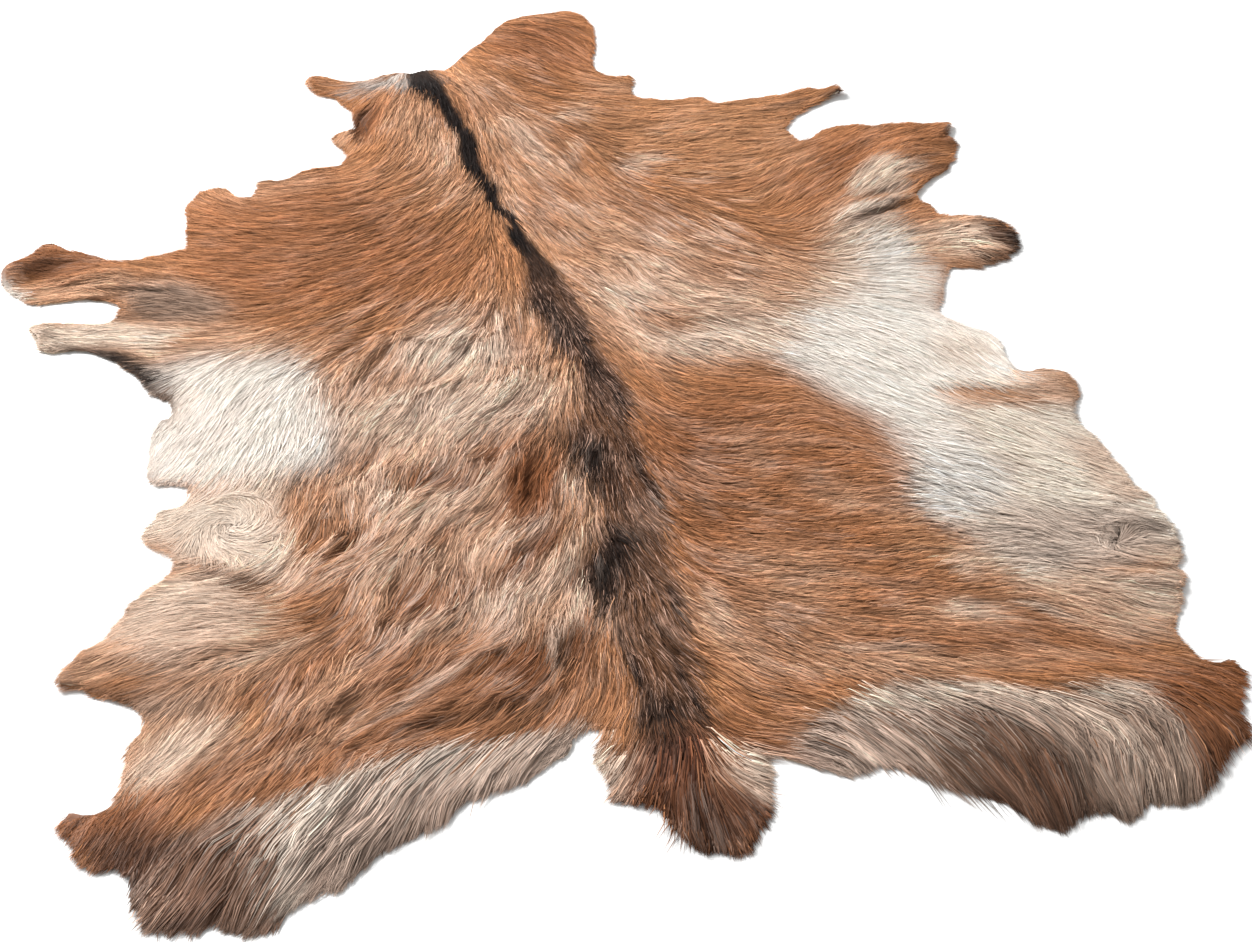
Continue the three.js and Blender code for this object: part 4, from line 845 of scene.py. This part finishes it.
def combHair(piece, style, lot):
    mesh = piece.data
    bends = style["bends"]
    per = 2 * bends if bends > 1 else 3  # points of a blade
    hairs = len(mesh.vertices) // per
    root = valuesOf(mesh.attributes["root"].data, "vector", hairs * per * 3).reshape(hairs, per, 3)[:, 0] / mm
    # the first blade shows how all of them are numbered
    along, across = (valuesOf(mesh.attributes[name].data, "value", hairs * per)[:per] for name in ("along", "across"))
    rowOf = np.rint(along * bends).astype(int)
    sideOf = np.where((rowOf == bends) | ((rowOf == 0) & (bends > 1)), 0, np.sign(across))
    random = np.random.default_rng(lot)
    luck, shade = random.random(hairs), random.normal(0, 1, hairs)
    x, y = root[:, 0].astype(float), root[:, 1].astype(float)
    steps = style["steps"]
    # two sizes of wisp: small ones within tufts
    cx, cy, chance, other = clumpOf(x, y, style["wisp"], lot)
    tx, ty, tuftChance, tuftOther = clumpOf(cx, cy, style["tuft"], lot + 3)
    usual = at(hairLength, x, y) * style["stretch"] if style["reach"] is None else np.full(hairs, style["reach"])
    wispTurn = np.radians(style["wispTurn"]) * (2 * chance - 1)
    turn = np.radians(style["stray"]) * random.normal(0, 1, hairs) + wispTurn
    nearRim = 1 - smooth(at(inside, x, y), *rimHair["zone"])
    turn += np.radians(rimHair["stray"]) * random.normal(0, 1, hairs) * nearRim
    # hair that would stand out past the hide's rim is shorter
    test = traced(x, y, usual, turn, rimHair["tested"])
    past = np.array([at(beyond, *p) for p in test]) > style["overhang"] * (0.2 + 0.5 * luck + 1.7 * other ** 2)
    kept = np.where(past.any(0), np.array(rimHair["kept"])[past.argmax(0)], 1.0)
    length = usual * kept * (0.78 + 0.34 * luck)  # the longest hairs are half as long again as the shortest
    own = traced(x, y, length, turn, steps)
    wispLine = traced(cx, cy, usual * kept, wispTurn, steps)
    tufted = at(tufts, x, y)
    tuftLine = traced(tx, ty, usual * kept, np.radians(5 + 12 * tufted) * (2 * tuftChance - 1), steps)
    t = np.array(steps)[:, None, None]
    line = own + (wispLine - own) * (style["pull"] * (0.45 + 0.75 * other) * t ** 1.3)
    line += (tuftLine - line) * (style["tuftPull"] * tufted * t ** 1.2)
    # heights: out of the skin at the root, up into the coat, and over the rim to the floor
    skinAt = np.array([at(clearSkin, *p) for p in line])
    topAt = np.array([at(clearTop, *p) for p in line])
    profile = np.array(style["profile"])[:, None]
    share = style["lowest"] + (style["highest"] - style["lowest"]) * (0.75 * luck + 0.25 * chance)
    rise = np.maximum(topAt - skinAt, 0.5) * share + style["over"] * luck
    height = np.maximum(skinAt + rise * profile, floorGap["line"])
    height[0] = skinAt[0] - 0.3 + style["rootRise"] * (topAt[0] - skinAt[0]) * share
    # the blade's sides stand across its line, rolled a little
    ahead = np.diff(line, axis=0)
    ahead = np.concatenate([ahead, ahead[-1:]])
    size = np.maximum(np.hypot(ahead[:, 0], ahead[:, 1]), 1e-6)
    roll = np.radians(style["roll"]) * random.normal(0, 1, hairs)
    wide = 0.5 * style["width"] * (0.75 + 0.5 * luck)  # half a blade's width
    sideX, sideY, sideZ = -ahead[:, 1] / size * np.cos(roll), ahead[:, 0] / size * np.cos(roll), np.sin(roll)
    taper = np.array(style["taper"])
    co = np.zeros((hairs, per, 3))
    for k in range(per):
        r, s = rowOf[k], sideOf[k]
        co[:, k, 0] = line[r, 0] + s * sideX[r] * wide * taper[r]
        co[:, k, 1] = line[r, 1] + s * sideY[r] * wide * taper[r]
        co[:, k, 2] = np.maximum(height[r] + s * sideZ * wide * taper[r], floorGap["side"])
    mesh.vertices.foreach_set("co", (co * mm).astype(np.float32).ravel())
    # colour: what the plan shows where the hair's middle lies, streaked along the lie, darker at the root as painted
    # shade
    seen = line[0] + (line[-1] - line[0]) * (0.5 + 0.26 * shade)  # borders of colour interlock along the lie
    colour, dark, depth = at(coatColour, *seen), at(stripe, *seen), at(streakDepth, *seen)
    tone = style["hairTone"] * shade + style["wispTone"] * (2 * chance - 1) + 0.05 * tufted * (2 * tuftOther - 1)
    tone = np.clip(1 + depth * tone, 0.5, 1.5)
    tone *= np.where(random.random(hairs) < at(flecks, *seen), 0.6, 1)
    start, end = paleHairs["reach"]
    light = (dark > 0.2) & (seen[1] < end) & (seen[1] > start) & (random.random(hairs) < paleHairs["share"])
    light &= (colour[:, 0] > paleHairs["blackest"]) | (seen[1] > paleHairs["foreEnd"])
    colour = colour * (tone * style["layerTone"])[:, None]
    colour += (np.array(linear("#C89F8A")) - colour) * (paleHairs["strength"] * light)[:, None]
    # painted glints: streaks of the hair blended toward a pale highlight colour, none in the dark line
    paintedGlint = 0.4 * at(broadStreaks, *seen) + 0.5 * at(fineStreaks, *seen) + 1.1 * wave(*seen, 24, 21)
    paintedGlint = 0.6 * at(glints, *seen) * smooth(paintedGlint, 0.0, 1.5) * (1 - dark)
    colour += (np.array(linear("#EBD6C7")) - colour) * paintedGlint[:, None]
    # the style's shade: each blade painted darker at its root, as painted shade among the hairs
    ends = np.array(style["shade"])
    tint = np.ones((hairs, per, 4))
    streak = [1 + depth * (style["fine"] * at(fineStreaks, *p) + style["broad"] * at(broadStreaks, *p)) for p in line]
    for k in range(per):
        seenTone = np.clip(ends[rowOf[k]] * streak[rowOf[k]], 0.35, 1.6)  # no black and no glaring strands
        tint[:, k, :3] = np.clip(colour * seenTone[:, None], 0, 0.9)
    fibre = np.stack([across * wide[:, None], along * length[:, None], 0 * across + 40 * luck[:, None]], 2)  # mm
    for name in ("root", "along", "across"):
        mesh.attributes.remove(mesh.attributes[name])
    addValues(mesh, "tint", tint, "FLOAT_COLOR")
    addValues(mesh, "fibre", fibre, "FLOAT_VECTOR")
    layPlan(mesh)
    mesh.polygons.foreach_set("use_smooth", np.full(len(mesh.polygons), bends > 2))
    mesh.update()
    mesh.calc_loop_triangles()
    print(piece.name, hairs, "hairs,", len(mesh.loop_triangles), "triangles")


def layPlan(mesh):  # the piece's own map, laid out as seen from above
    places = valuesOf(mesh.vertices, "co", len(mesh.vertices) * 3).reshape(-1, 3)[:, :2]
    lowest, size = places.min(0), (places.max(0) - places.min(0)).max()
    index = valuesOf(mesh.loops, "vertex_index", len(mesh.loops), np.int32)
    for old in list(mesh.uv_layers):
        mesh.uv_layers.remove(old)
    layer = mesh.uv_layers.new(name="OFBake")
    layer.data.foreach_set("uv", ((places - lowest) / size * 0.98 + 0.01)[index].astype(np.float32).ravel())


# materials
def newMaterial(name):
    material = bpy.data.materials.new(name)
    material.use_nodes = True
    material.node_tree.nodes.clear()
    return material, material.node_tree


def surface(tree, inputs):
    shader = addNode(tree, "ShaderNodeBsdfPrincipled", inputs)
    addNode(tree, "ShaderNodeOutputMaterial", {"Surface": shader.outputs[0]})


def ranged(tree, value, low, high):  # noise turned into a value between low and high
    return addNode(tree, "ShaderNodeMapRange", {
        "Value": value, "From Min": 0.3, "From Max": 0.7, "To Min": low, "To Max": high}).outputs[0]


def shaded(tree, tone):  # the piece's own colours, lighter and darker with the tone
    tint = addNode(tree, "ShaderNodeAttribute", attribute_name="tint")
    return addNode(tree, "ShaderNodeMix", {0: 1.0, 6: tint.outputs["Color"], 7: tone},
                   data_type="RGBA", blend_type="MULTIPLY").outputs[2]


def noise(tree, place, scale, detail, rough):
    return addNode(tree, "ShaderNodeTexNoise", {
        "Vector": place, "Scale": scale, "Detail": detail, "Roughness": rough}).outputs["Fac"]


def goatHairMaterial():
    # goat guard hair: a faint silky sheen, each blade streaked as the few fine hairs that it stands for
    material, tree = newMaterial("brushed goat hair")
    fibre = addNode(tree, "ShaderNodeAttribute", attribute_name="fibre")
    stretched = addNode(tree, "ShaderNodeMapping", {
        "Vector": fibre.outputs["Vector"], "Scale": (4.0, 0.12, 1.0)})  # streaks 0.25 mm wide
    streak = noise(tree, stretched.outputs[0], 1.0, 1.0, 0.5)
    colour = shaded(tree, ranged(tree, streak, 0.75, 1.24))
    bump = addNode(tree, "ShaderNodeBump", {"Height": streak, "Strength": 0.35, "Distance": 0.0002})
    surface(tree, {
        "Base Color": colour, "Roughness": ranged(tree, streak, 0.42, 0.6), "Normal": bump.outputs[0],
        "Specular IOR Level": 0.3, "Specular Tint": colour, "IOR": 1.55})
    return material


def goatLeatherMaterial():
    # tanned goatskin: flesh side sueded and pale, the cut edge darker, the hair side felted with undercoat
    material, tree = newMaterial("tanned goatskin")
    place = addNode(tree, "ShaderNodeTexCoord").outputs["Object"]
    nap = noise(tree, place, 420.0, 3.0, 0.6)  # 2.4 mm
    cloud = noise(tree, place, 28.0, 4.0, 0.55)  # 36 mm
    both = addNode(tree, "ShaderNodeMath", {0: ranged(tree, nap, 0.86, 1.1), 1: ranged(tree, cloud, 0.88, 1.08)},
                   operation="MULTIPLY").outputs[0]
    bump = addNode(tree, "ShaderNodeBump", {"Height": both, "Strength": 0.5, "Distance": 0.0008})
    surface(tree, {
        "Base Color": shaded(tree, both), "Roughness": ranged(tree, nap, 0.78, 0.95), "Normal": bump.outputs[0],
        "Specular IOR Level": 0.3, "Sheen Weight": 0.2, "Sheen Roughness": 0.6})
    return material


hairMaterial, leatherMaterial = goatHairMaterial(), goatLeatherMaterial()

# the skin's colours: undercoat above, suede below
skinTone = {"upper": 0.7, "lower": "#D9C7AC", "rimDark": 0.25, "rimWide": 10}  # shares, a hex and mm
upper = at(coatColour, *sheet.T) * skinTone["upper"]
rimShare = at((outside == 0) * np.clip(1 - inside / skinTone["rimWide"], 0, 1), *sheet.T)[:, None]
lower = np.array(linear(skinTone["lower"])) * (1 - skinTone["rimDark"] * rimShare)
tint = np.ones((2 * count, 4))
tint[:, :3] = np.concatenate([upper, lower])
addValues(hideSkin.data, "tint", tint, "FLOAT_COLOR")
hideSkin.data.materials.append(leatherMaterial)
layer = hideSkin.data.uv_layers.new(name="OFBake")
index = valuesOf(hideSkin.data.loops, "vertex_index", len(hideSkin.data.loops), np.int32)
gap, edgeShift = 0.02, 0.0012  # between the two sides, and the cut edge's thin strip beside the top
wide, tall = (xs[-1] - xs[0]) * mm, (ys[-1] - ys[0]) * mm
scale = 0.98 / max(2 * wide + gap, tall)
uv = ((np.concatenate([sheet, sheet]) - [xs[0], ys[0]]) * mm * scale + 0.01)[index]
side = 3 * len(sheetFaces)  # corners of one side
uv[side:2 * side, 0] += (wide + gap / 2) * scale
uv[2 * side:][index[2 * side:] >= count] += edgeShift
layer.data.foreach_set("uv", uv.astype(np.float32).ravel())

# the coat in its pieces
underCoat = {
    "density": 370000.0, "width": 1.85, "bends": 1,  # hairs a square metre, mm
    "steps": (0, 1), "profile": (0, 1), "taper": (1, 0), "shade": (0.84, 1.0),  # from root to tip
    "wisp": 9.0, "tuft": 27.0, "pull": 0.15, "tuftPull": 0.1,  # mm across, share drawn together
    "stray": 5.0, "wispTurn": 4.0, "roll": 7.0,  # degrees
    "lowest": 0.55, "highest": 0.85, "rootRise": 0.4,  # shares of the coat's height
    "over": 0.0, "reach": None, "stretch": 1.0, "overhang": 2.5,  # mm; no reach: hairLength stretched
    "hairTone": 0.1, "wispTone": 0.04, "layerTone": 0.95, "fine": 0.2, "broad": 0.05,  # colour
}
guardHair = {
    **underCoat, "density": 500000.0, "width": 0.95, "shade": (0.84, 1.05), "pull": 0.3, "tuftPull": 0.15,
    "stray": 4.5, "roll": 9.0, "lowest": 0.84, "highest": 1.05, "rootRise": 0.62,
    "hairTone": 0.27, "wispTone": 0.05, "layerTone": 1.0, "fine": 0.32, "broad": 0.09,
}
longHair = {
    **guardHair, "width": 0.8, "bends": 3, "steps": (0, 0.3, 0.65, 1), "profile": (0, 0.9, 1.0, 0.75),
    "taper": (0, 1, 0.85, 0), "shade": (0.8, 0.95, 1.03, 1.0), "wisp": 7.0, "tuft": 30.0, "pull": 0.7,
    "tuftPull": 0.3, "stray": 3.0, "lowest": 0.6, "highest": 1.15, "rootRise": 0.0, "over": 1.5,
    "overhang": 2.0, "hairTone": 0.26, "wispTone": 0.13, "fine": 0.14, "broad": 0.16,
}
topStrand = {
    **longHair, "density": 25000.0, "width": 0.55, "steps": (0, 0.33, 0.66, 1), "profile": (0, 1.0, 1.05, 0.95),
    "taper": (0, 1, 0.8, 0), "shade": (0.85, 1.0, 1.04, 1.06), "pull": 0.25, "tuftPull": 0.1, "stray": 7.0,
    "lowest": 0.98, "highest": 1.12, "over": 0.0, "stretch": 1.3,
    "hairTone": 0.2, "wispTone": 0.05, "fine": 0.15, "broad": 0.05,
}

tree = plantingTree()
hairPieces = []
bladeLength = 0.03  # m as planted; combing gives each hair its own


def grow(name, style, share, parts, part, seed, **changes):  # part -1 is the whole skin
    style = {**style, **changes}
    piece = planted(name, tree, {
        "Hairs a square metre": float(style["density"]), "Share": share, "Parts": parts, "Part": part,
        "Width": style["width"] * mm, "Length": bladeLength, "Bends": style["bends"], "Open root": style["bends"] == 1,
        "Seed": seed, "Material": hairMaterial})
    combHair(piece, style, seed)
    hairPieces.append(piece)


for k, name in enumerate(["hind", "middle", "fore"]):
    grow("undercoat_" + name, underCoat, "short", "band", k, 11 + k)
for k, name in enumerate(["hind_left", "hind_right", "middle_left", "middle_right", "fore_left", "fore_right"]):
    grow("guard_hair_" + name, guardHair, "short", "section", k, 21 + k)
grow("top_strands", topStrand, "short", "section", -1, 30)
grow("long_hair_breech_right", longHair, "breechRight", "section", -1, 31, reach=92, density=820000)
grow("long_hair_breech_left", longHair, "breechLeft", "section", -1, 32, reach=72, density=780000)
grow("tail_tuft", longHair, "tailTuft", "section", -1, 33, reach=50, density=760000)
grow("foreleg_tuft", longHair, "legTuft", "section", -1, 34, reach=27, density=780000)
bpy.data.objects.remove(growth)

for piece in [hideSkin, *hairPieces]:
    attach(piece, "root")
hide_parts("hide")
print("pieces ride on the hide")

# floor and light
stageSizes = {"floor": 14.0, "skyStrength": 0.52, "keyPower": 395.0, "keySize": 1.7, "keyPlace": (-2.4, 2.9, 2.6)}

half = stageSizes["floor"] / 2
floor = meshOf("floor", [(-half, -half, 0), (half, -half, 0), (half, half, 0), (-half, half, 0)], [(0, 1, 2, 3)])
floorMaterial, floorTree = newMaterial("matt white studio paper")
surface(floorTree, {"Base Color": (*linear("#F7F7F6"), 1), "Roughness": 0.9, "Specular IOR Level": 0.1})
floor.data.materials.append(floorMaterial)

world = bpy.data.worlds.new("white studio")
scene.world = world
world.use_nodes = True
sky = world.node_tree.nodes["Background"]
sky.inputs["Color"].default_value = (1, 1, 1, 1)
sky.inputs["Strength"].default_value = stageSizes["skyStrength"]
keyData = bpy.data.lights.new("key", "AREA")
keyData.shape = "DISK"
keyData.size = stageSizes["keySize"]
keyData.energy = stageSizes["keyPower"]
key = placed("key", keyData)
key.location = stageSizes["keyPlace"]
key.rotation_euler = (-key.location).to_track_quat("-Z", "Y").to_euler()
scene.view_settings.view_transform = "Standard"
